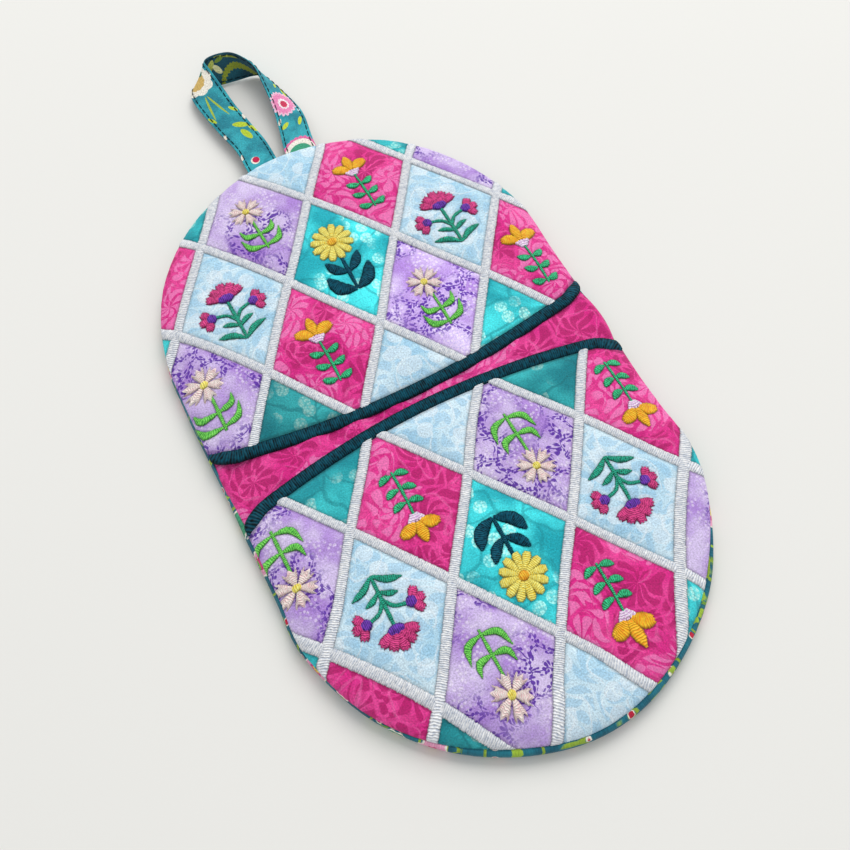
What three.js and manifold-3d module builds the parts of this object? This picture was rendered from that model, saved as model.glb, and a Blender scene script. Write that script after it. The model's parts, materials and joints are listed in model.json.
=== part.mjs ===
// Folding two-pocket quilted case with a hanging loop.
// Millimetres, +Z up. The case lies open on its back: +Y runs to the loop end and X runs across.
// The design below has its fold line on Y = 0. One outer group then centres the whole length on Y = 0.
//
// Each half is built the same way: a flat base (cover, wadding, lining) and over it a bowed pocket
// (lining, wadding, patchwork) that is sewn to the base all round its rim and is open at the fold.

import * as THREE from 'three';
import { mergeVertices } from 'three/addons/utils/BufferGeometryUtils.js';
import Module from 'manifold-3d';

const wasm = await Module();
wasm.setup();

// ---------- driving dimensions ----------

const GAP = 0.3;                  // clearance between neighbouring layers
const HALF_WIDTH = 67;            // the outline is two half circles of this radius, joined by straights
const END_CENTRE = 43;            // distance from the fold line to each half circle's centre
const RIM_TOP = 4;                // height of the back cover's turned-up rim
const COVER_THICKNESS = 0.5;
const BASE_WADDING_TOP = 3.2;
const LINING_THICKNESS = 0.4;
const FOLD_CLEARANCE = 0.5;       // each base piece stops this far short of the fold line

const FRONT_RADIUS = HALF_WIDTH - COVER_THICKNESS - 0.1;   // half circle radius of the pocket panels
const BOW_RUN = 30;               // the pocket is fully bowed this far in from its rim
const BOW_SHARPNESS = 2.2;
const SHEET_COLUMNS = 16;
const SHEET_ROWS = 7;

// Each pocket surface is rim + rise * bow, so layers that share the bow never cross.
const LEVEL = {
  liningBottom: { rim: 4.2, rise: 4.6 },
  liningTop: { rim: 4.6, rise: 4.6 },
  waddingBottom: { rim: 4.9, rise: 4.6 },
  waddingTop: { rim: 5.9, rise: 5.6 },
  patchBottom: { rim: 6.2, rise: 5.6 },
  patchTop: { rim: 6.6, rise: 5.6 },
  satinTop: { rim: 7.1, rise: 5.6 },
};

const MOUTH_CENTRE = 3.2;         // the satin's centre line at X = 0, from the fold line
const MOUTH_CURVE = 0.0018;       // it curves away from the fold with X squared
const MOUTH_TURN_START = 58;      // and turns to meet the side seam beyond this X
const MOUTH_TURN = 0.06;
const SATIN_WIDTH = 4;
const LIP_WALL = 0.8;             // thickness of the satin wrapped over the pocket's raw edge

const CELL_HALF_X = 20;           // half diagonals of one patchwork diamond
const CELL_HALF_Y = 27.8;
const LATTICE_TOP_Y = 85.5;       // the vertex that lines m = 0 and n = 0 share
const LATTICE_LINES = [-1, 0, 1, 2];
const SASH_WIDTH = 4;
const SMALLEST_PATCH = 20;        // mm2: slivers under this at the rim have no piece of their own

const LOOP_WIDTH = 11;
const LOOP_THICKNESS = 1.6;
const LOOP_HINGE_Y = 111.2;       // the loop leaves the end seam here
const LOOP_ROOT_Z = 4.5;
const LOOP_APEX_Z = 5.8;
const LOOP_TWIST_LENGTH = 0.36;   // share of the loop's length in which each leg turns on edge
const LOOP_STEPS = 36;
const LOOP_CENTRE_LINE = [
  [-6.5, LOOP_HINGE_Y], [-7.6, 126], [-10.4, 142], [-12.2, 151.5], [-9.5, 157.4], [-2.5, 158.8],
  [4.8, 157], [9.3, 150], [11, 138], [10.9, 125], [8.1, LOOP_HINGE_Y],
];

const CASE_END = END_CENTRE + HALF_WIDTH;
const LOOP_END = 159.6;
const CENTRING_SHIFT = (CASE_END - LOOP_END) / 2;
const TALL = 40;                  // cutting prisms are taller than the case

// ---------- materials ----------

function cloth(colour, roughness = 0.9) {
  return new THREE.MeshStandardMaterial({ color: colour, roughness, metalness: 0 });
}

const MATERIAL = {
  coverPrint: cloth('#1f7a8c'),
  liningPrint: cloth('#dc3a8e'),
  wadding: cloth('#f1efe9', 1),
  edgeSatin: cloth('#0b4a5a', 0.5),
  sashSatin: cloth('#c9d3de', 0.5),
  pink: cloth('#e0308f'),
  lilac: cloth('#b48ad6'),
  teal: cloth('#2bb5b5'),
  blue: cloth('#cfe4f2'),
};

// ---------- solids and cuts ----------

function solidOf(geometry) {
  const bare = geometry.clone();
  bare.deleteAttribute('normal');
  bare.deleteAttribute('uv');
  const merged = mergeVertices(bare, 1e-5);
  return new wasm.Manifold(new wasm.Mesh({
    numProp: 3,
    vertProperties: new Float32Array(merged.attributes.position.array),
    triVerts: new Uint32Array(merged.index.array),
  }));
}

function geometryOf(solid) {
  const mesh = solid.getMesh();
  const geometry = new THREE.BufferGeometry();
  geometry.setAttribute('position', new THREE.BufferAttribute(new Float32Array(mesh.vertProperties), 3));
  geometry.setIndex(new THREE.BufferAttribute(new Uint32Array(mesh.triVerts), 1));
  return geometry;
}

function prismGeometry(points, bottom, top) {
  const shape = new THREE.Shape(points.map(([x, y]) => new THREE.Vector2(x, y)));
  const geometry = new THREE.ExtrudeGeometry(shape, { depth: top - bottom, bevelEnabled: false });
  return geometry.translate(0, 0, bottom);
}

function prism(points, bottom = -TALL, top = TALL) {
  return solidOf(prismGeometry(points, bottom, top));
}

// ---------- outlines ----------

function rimY(x, radius) {
  return END_CENTRE + Math.sqrt(Math.max(radius * radius - x * x, 0));
}

function columnX(index, radius) {
  return radius * Math.sin(Math.PI * (index / SHEET_COLUMNS - 0.5));
}

function mouthY(x) {
  const beyond = Math.max(Math.abs(x) - MOUTH_TURN_START, 0);
  return MOUTH_CENTRE + MOUTH_CURVE * x * x + MOUTH_TURN * beyond * beyond;
}

// The half stadium on the loop side of the fold line, as seen from above.
function halfOutline(radius, foldY) {
  const points = [[-radius, foldY], [radius, foldY]];
  for (let i = SHEET_COLUMNS; i >= 0; i -= 1) {
    const x = columnX(i, radius);
    points.push([x, rimY(x, radius)]);
  }
  return points;
}

// The strip that follows the mouth's centre line, from one offset in Y to another.
function mouthStrip(from, to) {
  const reach = 2 * HALF_WIDTH;
  const xs = [-reach];
  for (let i = 0; i <= SHEET_COLUMNS; i += 1) {
    xs.push(columnX(i, FRONT_RADIUS));
  }
  xs.push(reach);
  const edgeX = (x) => THREE.MathUtils.clamp(x, -FRONT_RADIUS, FRONT_RADIUS);
  const near = xs.map((x) => [x, mouthY(edgeX(x)) + from]);
  const far = xs.map((x) => [x, mouthY(edgeX(x)) + to]);
  return [...near, ...far.reverse()];
}

// ---------- the bowed pocket sheet ----------

function bowAt(x, y) {
  const inset = FRONT_RADIUS - Math.hypot(x, Math.max(y - END_CENTRE, 0));
  const share = THREE.MathUtils.clamp(inset / BOW_RUN, 0, 1);
  return 1 - (1 - share) ** BOW_SHARPNESS;
}

// A closed sheet between two levels, over the whole pocket from its lip to its rim.
function pocketSheet(bottomLevel, topLevel) {
  const positions = [];
  for (const level of [bottomLevel, topLevel]) {
    for (let i = 0; i <= SHEET_COLUMNS; i += 1) {
      const x = columnX(i, FRONT_RADIUS);
      const lip = mouthY(x) - SATIN_WIDTH / 2;
      const rim = rimY(x, FRONT_RADIUS);
      for (let j = 0; j <= SHEET_ROWS; j += 1) {
        const y = lip + (rim - lip) * Math.sin((Math.PI / 2) * (j / SHEET_ROWS));
        positions.push(x, y, level.rim + level.rise * bowAt(x, y));
      }
    }
  }
  const layerSize = (SHEET_COLUMNS + 1) * (SHEET_ROWS + 1);
  const at = (layer, i, j) => layer * layerSize + i * (SHEET_ROWS + 1) + j;
  const indices = [];
  const quad = (a, b, c, d) => indices.push(a, b, c, a, c, d);
  for (let i = 0; i < SHEET_COLUMNS; i += 1) {
    for (let j = 0; j < SHEET_ROWS; j += 1) {
      quad(at(1, i, j), at(1, i + 1, j), at(1, i + 1, j + 1), at(1, i, j + 1));
      quad(at(0, i, j), at(0, i, j + 1), at(0, i + 1, j + 1), at(0, i + 1, j));
    }
  }
  for (let i = 0; i < SHEET_COLUMNS; i += 1) {
    quad(at(0, i, 0), at(0, i + 1, 0), at(1, i + 1, 0), at(1, i, 0));
    quad(at(0, i + 1, SHEET_ROWS), at(0, i, SHEET_ROWS), at(1, i, SHEET_ROWS), at(1, i + 1, SHEET_ROWS));
  }
  for (let j = 0; j < SHEET_ROWS; j += 1) {
    quad(at(0, 0, j + 1), at(0, 0, j), at(1, 0, j), at(1, 0, j + 1));
    quad(at(0, SHEET_COLUMNS, j), at(0, SHEET_COLUMNS, j + 1), at(1, SHEET_COLUMNS, j + 1),
      at(1, SHEET_COLUMNS, j));
  }
  const geometry = new THREE.BufferGeometry();
  geometry.setAttribute('position', new THREE.Float32BufferAttribute(positions, 3));
  geometry.setIndex(indices);
  return solidOf(geometry);
}

// ---------- one half, on the loop side ----------

function backCover() {
  const outer = prism(halfOutline(HALF_WIDTH, FOLD_CLEARANCE), 0, RIM_TOP);
  const hollow = halfOutline(HALF_WIDTH - COVER_THICKNESS, -FOLD_CLEARANCE);
  return geometryOf(outer.subtract(prism(hollow, COVER_THICKNESS, TALL)));
}

function basePanel(bottom, top) {
  return prismGeometry(halfOutline(FRONT_RADIUS - GAP, FOLD_CLEARANCE), bottom, top);
}

function pocketLayer(bottomLevel, topLevel) {
  const behindLip = mouthStrip(-TALL, LIP_WALL + GAP - SATIN_WIDTH / 2);
  return geometryOf(pocketSheet(bottomLevel, topLevel).subtract(prism(behindLip)));
}

function mouthSatin() {
  const half = SATIN_WIDTH / 2;
  const face = pocketSheet(LEVEL.patchBottom, LEVEL.satinTop).intersect(prism(mouthStrip(-half, half)));
  const lip = prism(mouthStrip(-half, LIP_WALL - half));
  return geometryOf(face.add(pocketSheet(LEVEL.liningBottom, LEVEL.satinTop).intersect(lip)));
}

function latticePoint(m, n) {
  return [(m - n) * CELL_HALF_X, LATTICE_TOP_Y - (m + n) * CELL_HALF_Y];
}

function sashBar(start, end) {
  const along = new THREE.Vector2(end[0] - start[0], end[1] - start[1]).normalize();
  const side = new THREE.Vector2(-along.y, along.x).multiplyScalar(SASH_WIDTH / 2);
  return prism([
    [start[0] - side.x, start[1] - side.y],
    [end[0] - side.x, end[1] - side.y],
    [end[0] + side.x, end[1] + side.y],
    [start[0] + side.x, start[1] + side.y],
  ]);
}

function satinLattice() {
  const far = 6;
  const bars = LATTICE_LINES.flatMap((line) => [
    sashBar(latticePoint(-far, line), latticePoint(far, line)),
    sashBar(latticePoint(line, -far), latticePoint(line, far)),
  ]);
  const grid = bars.reduce((joined, bar) => joined.add(bar));
  const mouthCut = prism(mouthStrip(-TALL, SATIN_WIDTH / 2 + GAP));
  return geometryOf(pocketSheet(LEVEL.patchBottom, LEVEL.satinTop).intersect(grid).subtract(mouthCut));
}

function fabricOf(m, n) {
  if (n % 2 === 0) {
    return m % 2 === 0 ? 'teal' : 'lilac';
  }
  return m % 2 === 0 ? 'pink' : 'blue';
}

// All the patches of one half, from the closed end to the mouth and from -X to +X.
function patches() {
  const sheet = pocketSheet(LEVEL.patchBottom, LEVEL.patchTop);
  const face = sheet.subtract(prism(mouthStrip(-TALL, SATIN_WIDTH / 2 + GAP)));
  const centreToSide = (CELL_HALF_X * CELL_HALF_Y) / Math.hypot(CELL_HALF_X, CELL_HALF_Y);
  const shrink = 1 - (SASH_WIDTH / 2 + GAP) / centreToSide;
  const thickness = LEVEL.patchTop.rim - LEVEL.patchBottom.rim;
  const found = [];
  for (let row = -2; row <= 2; row += 1) {
    let column = 0;
    for (let m = -3; m <= 3; m += 1) {
      const n = row - m;
      const [x, vertexY] = latticePoint(m, n);
      const y = vertexY - CELL_HALF_Y;
      const diamond = [[0, -1], [1, 0], [0, 1], [-1, 0]].map(([dx, dy]) => [
        x + dx * CELL_HALF_X * shrink,
        y + dy * CELL_HALF_Y * shrink,
      ]);
      const patch = face.intersect(prism(diamond));
      if (patch.volume() / thickness >= SMALLEST_PATCH) {
        column += 1;
        const fabric = fabricOf(m, n);
        found.push({ name: `patch_row${row + 3}_${column}_${fabric}`, fabric, geometry: geometryOf(patch) });
      }
    }
  }
  return found;
}

// ---------- the hanging loop ----------

// A flat strip that leaves the seam lying down and turns on edge at its far end.
function hangingLoop() {
  const points = LOOP_CENTRE_LINE.map(([x, y]) => new THREE.Vector3(x, y, 0));
  const path = new THREE.CatmullRomCurve3(points, false, 'centripetal');
  const up = new THREE.Vector3(0, 0, 1);
  const positions = [];
  for (let i = 0; i <= LOOP_STEPS; i += 1) {
    const share = i / LOOP_STEPS;
    const fromRoot = Math.min(share, 1 - share);
    const turned = THREE.MathUtils.smoothstep(fromRoot, 0, LOOP_TWIST_LENGTH);
    const twist = turned * (Math.PI / 2);
    const centre = path.getPointAt(share);
    centre.z = THREE.MathUtils.lerp(LOOP_ROOT_Z, LOOP_APEX_Z, turned);
    const atRoot = i === 0 || i === LOOP_STEPS;
    const along = atRoot ? new THREE.Vector3(0, i === 0 ? 1 : -1, 0) : path.getTangentAt(share);
    const inward = new THREE.Vector3().crossVectors(along, up).normalize();
    const across = inward.clone().multiplyScalar(Math.cos(twist)).addScaledVector(up, Math.sin(twist));
    const outward = up.clone().multiplyScalar(Math.cos(twist)).addScaledVector(inward, -Math.sin(twist));
    for (const [a, o] of [[-1, -1], [1, -1], [1, 1], [-1, 1]]) {
      const corner = centre.clone().addScaledVector(across, (a * LOOP_WIDTH) / 2);
      corner.addScaledVector(outward, (o * LOOP_THICKNESS) / 2);
      positions.push(corner.x, corner.y, corner.z);
    }
  }
  const indices = [];
  const quad = (a, b, c, d) => indices.push(a, b, c, a, c, d);
  for (let i = 0; i < LOOP_STEPS; i += 1) {
    for (let k = 0; k < 4; k += 1) {
      const next = (k + 1) % 4;
      quad(4 * i + k, 4 * (i + 1) + k, 4 * (i + 1) + next, 4 * i + next);
    }
  }
  const last = 4 * LOOP_STEPS;
  quad(0, 1, 2, 3);
  quad(last + 3, last + 2, last + 1, last);
  const geometry = new THREE.BufferGeometry();
  geometry.setAttribute('position', new THREE.Float32BufferAttribute(positions, 3));
  geometry.setIndex(indices);
  return geometry;
}

// ---------- assembly ----------

function mirroredInY(geometry) {
  const mirrored = (geometry.index ? geometry : mergeVertices(geometry)).clone();
  mirrored.scale(1, -1, 1);
  const index = mirrored.index.array;
  for (let i = 0; i < index.length; i += 3) {
    [index[i], index[i + 1]] = [index[i + 1], index[i]];
  }
  return mirrored;
}

function addMesh(group, name, geometry, material) {
  const mesh = new THREE.Mesh(geometry, material);
  mesh.name = name;
  group.add(mesh);
}

const liningTop = BASE_WADDING_TOP + GAP + LINING_THICKNESS;
const halfPieces = [
  { name: 'back_cover', material: 'coverPrint', geometry: backCover() },
  { name: 'base_wadding', material: 'wadding', geometry: basePanel(COVER_THICKNESS + GAP, BASE_WADDING_TOP) },
  { name: 'inner_lining', material: 'liningPrint', geometry: basePanel(BASE_WADDING_TOP + GAP, liningTop) },
  {
    name: 'pocket_lining',
    material: 'liningPrint',
    geometry: pocketLayer(LEVEL.liningBottom, LEVEL.liningTop),
  },
  {
    name: 'pocket_wadding',
    material: 'wadding',
    geometry: pocketLayer(LEVEL.waddingBottom, LEVEL.waddingTop),
  },
  { name: 'mouth_satin', material: 'edgeSatin', geometry: mouthSatin() },
  { name: 'satin_lattice', material: 'sashSatin', geometry: satinLattice() },
  ...patches().map(({ name, fabric, geometry }) => ({ name, material: fabric, geometry })),
];

const holder = new THREE.Group();
holder.position.y = CENTRING_SHIFT;
for (const { name, material, geometry } of halfPieces) {
  addMesh(holder, `upper_${name}`, geometry, MATERIAL[material]);
  addMesh(holder, `lower_${name}`, mirroredInY(geometry), MATERIAL[material]);
}
addMesh(holder, 'hanging_loop', hangingLoop(), MATERIAL.coverPrint);

const assembly = new THREE.Group();
assembly.add(holder);

export default assembly;
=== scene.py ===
"""Looks for the folding quilted case: fabric, padding, embroidery, loop, floor, light and camera.

Shapes are worked out in millimetres in the case's own plan: X across, +Y from the fold line to the
loop end, Z up. make_piece() turns them into metres in the frame. The lower half mirrors the upper.
"""

import json
import math

import bpy
import numpy as np
from mathutils import Matrix, Vector


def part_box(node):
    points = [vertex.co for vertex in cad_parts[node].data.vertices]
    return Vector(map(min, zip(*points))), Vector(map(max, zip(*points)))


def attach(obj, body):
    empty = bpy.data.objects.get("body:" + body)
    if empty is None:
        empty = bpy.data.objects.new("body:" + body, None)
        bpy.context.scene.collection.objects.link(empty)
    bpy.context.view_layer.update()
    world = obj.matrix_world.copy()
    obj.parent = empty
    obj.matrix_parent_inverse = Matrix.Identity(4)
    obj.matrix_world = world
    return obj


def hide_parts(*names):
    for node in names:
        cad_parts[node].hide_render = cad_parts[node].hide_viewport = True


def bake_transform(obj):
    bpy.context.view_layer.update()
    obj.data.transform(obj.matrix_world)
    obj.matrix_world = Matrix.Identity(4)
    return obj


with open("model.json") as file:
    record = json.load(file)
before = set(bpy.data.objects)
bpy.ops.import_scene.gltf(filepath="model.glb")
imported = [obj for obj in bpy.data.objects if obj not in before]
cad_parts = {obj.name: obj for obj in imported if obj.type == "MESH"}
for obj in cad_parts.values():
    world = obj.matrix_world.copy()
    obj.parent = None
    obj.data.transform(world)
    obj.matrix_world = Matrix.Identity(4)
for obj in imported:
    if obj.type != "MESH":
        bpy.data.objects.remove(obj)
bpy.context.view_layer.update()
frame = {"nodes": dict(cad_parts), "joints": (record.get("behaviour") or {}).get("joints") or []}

MM = 0.001
JOINTS = {joint["name"]: joint for joint in frame["joints"]}
FOLD_Y = JOINTS["centre_fold"]["pos_m"][1]
_, COVER_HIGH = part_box("upper_back_cover")


# ---------- plan of the case, in millimetres ----------

HALF_WIDTH = COVER_HIGH.x / MM
END_CENTRE = (COVER_HIGH.y - FOLD_Y) / MM - HALF_WIDTH
CELL_X, CELL_Y = 20.0, 27.8  # half diagonals of one patchwork diamond
LATTICE_TOP_Y = 85.5
LATTICE_LINES = (-1, 0, 1, 2)
LINE_SPACING = 2 * CELL_X * CELL_Y / math.hypot(CELL_X, CELL_Y)
MOUTH_CENTRE, MOUTH_CURVE = 3.2, 0.0018
MOUTH_TURN_START, MOUTH_TURN = 58.0, 0.06
MOUTH_END_X = 65.9
EDGE_PATCHES = (("patch_left_edge_teal", -2, 2), ("patch_right_edge_teal", 2, -2))
SIDE_NAMES = {-1: "left", 1: "right"}
HALVES = ("upper", "lower")
SASH_HALF = 1.62  # half width of a lattice sash
SATIN_HALF = 2.3  # half width of the satin rope along a pocket mouth
PATCH_STEP = 0.55  # spacing of a patch's mesh
CLOTH_DEPTH = 0.45
SEAM_Z = 4.9  # where the pocket panels meet the back cover's turned-up edge
CREST_Z = 11.2  # top of the fabric over the fully padded middle
LINING_Z = 4.1  # top of the flat inner lining
LIP_DEPTH = 2.3  # height of the satin rope over the padded lip
WEAVE_PITCH = 0.42  # distance between the threads of the cotton
MOUTH_SLANT = 0.97  # the mouth line slants, so it is this much nearer than its distance along Y
OVERHANG_AT = 1.2  # the padding stands out over the seam most of all this far in from it
RIM_REACH = 15  # the rim's swell dies out over this distance in from the seam
CROWN_REACH = 45  # the padding rises up to this distance in from the seam
NO_STITCH = 9.0  # a distance from the nearest stitch that is too far to crease the cloth or to darken it with painted shade
LINING_PRINT = 61  # seed of the inner lining's print
LAYER_INSET = 1.2  # the padding and lining of a pocket end this far inside the outline
PAD_INSET = 4  # the base wadding ends this far inside the outline
SASH_STEP = 0.3  # spacing of a satin rope's cross sections
LIFTED_SEAM = (-45.0, 38.0)  # where the upper half's seams stand a little high
FLOOR_MARKS = {
    # body: points in mm that the floor never rises above, from the fold line
    "lower_half": ((0, -113, 0), (0, -113, 13), (0, -60, 13)),
    "hanging_loop": ((0, 157, 0), (0, 130, 0)),
}
PATCH_TONE = {
    # how much lighter or darker each patch is drawn than its print as a whole
    "upper": {(0, 0): 0.4, (0, 2): -0.4, (2, 0): 0.22, (-2, 0): -0.05, (1, 0): 0.22},
    "lower": {(0, 0): 0.3, (2, 0): -0.3, (0, 2): -0.12, (-2, 0): -0.3, (0, -2): 0.1},
}


def smoothstep(value, low, high):
    share = np.clip((np.asarray(value, float) - low) / (high - low), 0, 1)
    return share * share * (3 - 2 * share)


def end_angle(x, y):
    """Direction from the half's end centre in degrees: 0 right, 90 towards the tip, 180 left."""
    return np.degrees(np.arctan2(np.maximum(np.abs(y) - END_CENTRE, 0.0), x))


def cover_roll(x, y, half):
    """How far the back cover rolls on to the front, 0 to 1: only round the lower end."""
    angle = end_angle(x, y)
    if half == "upper":
        return 0.0 * angle
    return smoothstep(angle, 12, 45) * (1 - 0.75 * smoothstep(angle, 112, 160))


def side_belly(x, y):
    """The cover's wall bellies out down the left side, most of all along the straight."""
    straight = 1 - smoothstep(np.abs(y), END_CENTRE, END_CENTRE + 20)
    return (0.6 + 0.7 * straight) * smoothstep(-np.asarray(x) / HALF_WIDTH, 0.4, 0.9)


def rim_distance(x, y):
    """How far inside the outline a point is."""
    return HALF_WIDTH - np.hypot(x, np.maximum(np.abs(y) - END_CENTRE, 0.0))


def mouth_y(x):
    beyond = np.maximum(np.abs(x) - MOUTH_TURN_START, 0.0)
    return MOUTH_CENTRE + MOUTH_CURVE * x * x + MOUTH_TURN * beyond * beyond


def ripple(x, y, seed, wavelength, waves=5):
    """Smooth irregularity between about -1 and 1, the same on every run."""
    draw = np.random.default_rng(seed)
    total = np.zeros_like(np.asarray(x, float))
    for _ in range(waves):
        angle = draw.uniform(0, math.pi)
        phase = draw.uniform(0, 2 * math.pi)
        k = 2 * math.pi / (wavelength * draw.uniform(0.7, 1.4))
        total += np.sin(k * (x * math.cos(angle) + y * math.sin(angle)) + phase)
    return total / math.sqrt(2 * waves)


def seam_inset(x, y, half):
    return 0.2 + 1.1 * cover_roll(x, y, half) + 0.12 * ripple(x, y, 5, 30)


def swell(x, y, half):
    """How far the stuffed outline stands out from the plain one."""
    degrees = end_angle(x, y)
    angle = np.radians(degrees)
    to_left = smoothstep(-np.asarray(x) / HALF_WIDTH, -0.3, 0.3)
    straight = 1 - smoothstep(np.abs(y), 30 + 4 * to_left, 58 + 2 * to_left)
    if half == "upper":
        reach = 0.6 - 0.75 * np.sin(angle) - 0.45 * np.cos(angle)
        reach = reach - 1.1 * np.exp(-(((degrees - 28) / 22) ** 2))
        begins, ends = 36, 64
    else:
        reach = 1.2 + 0.2 * np.cos(angle) + 1.9 * np.sin(angle) ** 2
        reach = reach + 2.0 * np.exp(-(((degrees - 92) / 24) ** 2)) + 1.4 * smoothstep(degrees, 100, 140)
        begins, ends = 36, 56
    sides = (1.3 * to_left - 0.7 * (1 - to_left)) * straight
    at_fold = np.where(np.asarray(x) > 0, 1.7, 0.0) * np.exp(-((np.asarray(y) / 11) ** 2))
    return reach * smoothstep(np.abs(y), begins, ends) + sides + at_fold + 0.12 * ripple(x, y, 7, 24)


def outward(x, y):
    """Unit direction out through the rim."""
    beyond = y - np.clip(y, -END_CENTRE, END_CENTRE)
    length = np.maximum(np.hypot(x, beyond), 1e-6)
    return x / length, beyond / length


def plump(x, y, half):
    """Plan position once the padding pushes the rim outward and a little over the seam."""
    dx, dy = wobble(x, y, half)
    inset = np.maximum(rim_distance(x, y) - seam_inset(x, y, half), 0)
    shift = swell(x, y, half) * (1 - smoothstep(inset, 0, RIM_REACH))
    overhang = 1.2 - 0.9 * cover_roll(x, y, half)
    shift = shift + overhang * inset / OVERHANG_AT * np.exp(1 - inset / OVERHANG_AT)
    ox, oy = outward(x, y)
    return x + dx + ox * shift, y + dy + oy * shift


def padded_rise(inset):
    """Share of the full padding height at a distance in from the seam."""
    shoulder = np.sqrt(1 - (1 - np.clip(inset / 13, 0, 1)) ** 2)
    crown = 1 - (1 - np.clip(inset / CROWN_REACH, 0, 1)) ** 2
    return 0.62 * shoulder + 0.38 * crown


def laid_flat(x, y, half):
    """Where a point of a panel lay when it was sewn, before stuffing turned its rim down."""
    steps = np.linspace(0, CROWN_REACH, 901)
    rise = (CREST_Z - SEAM_Z) * padded_rise(steps)
    taken_up = np.hypot(np.diff(steps), np.diff(rise)) - np.diff(steps)
    shoulder = np.append(np.cumsum(taken_up[::-1])[::-1], 0.0)
    inset = np.maximum(rim_distance(x, y) - seam_inset(x, y, half), 0)
    reach = swell(x, y, half) * (1 - smoothstep(inset, 0, RIM_REACH)) + np.interp(inset, steps, shoulder)
    ox, oy = outward(x, y)
    return np.column_stack([x + ox * reach, y + oy * reach, 0 * x])


def lattice_coordinates(x, y):
    down = (LATTICE_TOP_Y - y) / CELL_Y
    return (down + x / CELL_X) / 2, (down - x / CELL_X) / 2


def line_distance(x, y):
    """Distance to the nearest sash's centre line."""
    m, n = lattice_coordinates(x, y)
    return LINE_SPACING * np.minimum(np.abs(m - np.round(m)), np.abs(n - np.round(n)))


def panel_base(x, y, half):
    """Height of the panel where it is stitched down, without the puff between the sashes."""
    inset = rim_distance(x, y) - seam_inset(x, y, half)
    slow = 0.25 * ripple(x, y, 11 if half == "upper" else 12, 55)
    from_mouth = np.maximum(np.abs(y) - mouth_y(x), 0)
    slack = 1.3 * np.exp(-from_mouth / 9)
    return SEAM_Z + (CREST_Z - SEAM_Z + slow - slack) * padded_rise(inset)


def panel_height(x, y, half, needle=None):
    """Height of the top of the patchwork. needle is the distance to the nearest embroidery."""
    edge = line_distance(x, y)
    mouth = np.abs(y - mouth_y(x)) * MOUTH_SLANT
    inset = np.maximum(rim_distance(x, y) - seam_inset(x, y, half), 0)
    near = np.minimum(edge - SASH_HALF, mouth - SATIN_HALF)
    puff = 1.15 * (1 - np.exp(-np.maximum(near, 0) / 2.6))
    puff *= 1 - np.exp(-inset / 4)
    wrinkle = 0.11 * ripple(x, y, 21 if half == "upper" else 22, 9)
    wrinkle += 0.06 * ripple(x, y, 23 if half == "upper" else 24, 3.6)
    height = panel_base(x, y, half) - 0.75 + puff + wrinkle * np.clip(near / 3, 0, 1)
    if needle is not None:
        height -= 0.3 * np.exp(-((np.maximum(needle, 0) / 0.8) ** 2))
    return height


def wobble(x, y, half):
    """Small sideways drift of the whole panel, so that the sewn lines aren't ruled."""
    seed = 31 if half == "upper" else 41
    fade = np.clip(rim_distance(x, y) / 8, 0, 1) * np.clip((np.abs(y) - 4) / 12, 0, 1)
    across, along = 0.5 * ripple(x, y, seed, 60), 0.5 * ripple(x, y, seed + 1, 60)
    if half == "upper":
        near = np.exp(-((x - LIFTED_SEAM[0]) ** 2 + (y - LIFTED_SEAM[1]) ** 2) / (2 * 18**2))
        across, along = across + 0.5 * near, along + 1.2 * near
    return fade * across, fade * along


# ---------- meshes ----------


def add_object(name, data):
    thing = bpy.data.objects.new(name, data)
    bpy.context.scene.collection.objects.link(thing)
    return thing


def make_piece(name, points, faces, materials, attributes=None, face_slots=None, crisp=False):
    """A mesh object from points in case millimetres. attributes are three numbers per point."""
    points = np.asarray(points, float)
    mesh = bpy.data.meshes.new(name)
    placed = points * MM + np.array([0, FOLD_Y, 0])
    mesh.from_pydata(placed.tolist(), [], [list(f) for f in faces])
    for key, values in {"plan": points, **(attributes or {})}.items():
        layer = mesh.attributes.new(key, "FLOAT_VECTOR", "POINT")
        layer.data.foreach_set("vector", np.asarray(values, np.float32).ravel())
    for material in materials:
        mesh.materials.append(material)
    if face_slots is not None:
        mesh.polygons.foreach_set("material_index", np.asarray(face_slots, np.int32))
    mesh.polygons.foreach_set("use_smooth", [True] * len(mesh.polygons))
    if crisp:
        mesh.set_sharp_from_angle(angle=math.radians(60))
    mesh.update()
    return add_object(name, mesh)


def grid_faces(rows, columns, start=0, closed=False):
    """Quads over a rows x columns grid of points. closed joins the last column to the first."""
    faces = []
    last = columns if closed else columns - 1
    for i in range(rows - 1):
        for j in range(last):
            a = start + i * columns + j
            b = start + i * columns + (j + 1) % columns
            faces.append((a, b, b + columns, a + columns))
    return faces


def drop_flat_faces(points, faces, smallest=0.01):
    """Leaves out faces that clamping has squeezed to nothing."""
    kept = []
    for face in faces:
        corners = points[list(face)]
        area = np.linalg.norm(np.cross(corners[2] - corners[0], corners[3] - corners[1])) / 2
        if area > smallest:
            kept.append(face)
    return kept


def flipped(faces):
    return [tuple(reversed(face)) for face in faces]


def end_caps(rows, columns):
    """The two faces that close a tube made of rows rings."""
    return [tuple(range(columns))[::-1], tuple(range((rows - 1) * columns, rows * columns))]


def closed_over(faces, count):
    """Faces with the same sheet count points further on as their underside, and walls between."""
    edges = {edge: True for face in faces for edge in zip(face, face[1:] + face[:1])}
    walls = [(b, a, a + count, b + count) for a, b in edges if (b, a) not in edges]
    return faces + [tuple(i + count for i in reversed(face)) for face in faces] + walls


def bulging(value, power):
    """value raised to a power with its sign kept, which squares off a circle."""
    return np.sign(value) * np.abs(value) ** power


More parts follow.
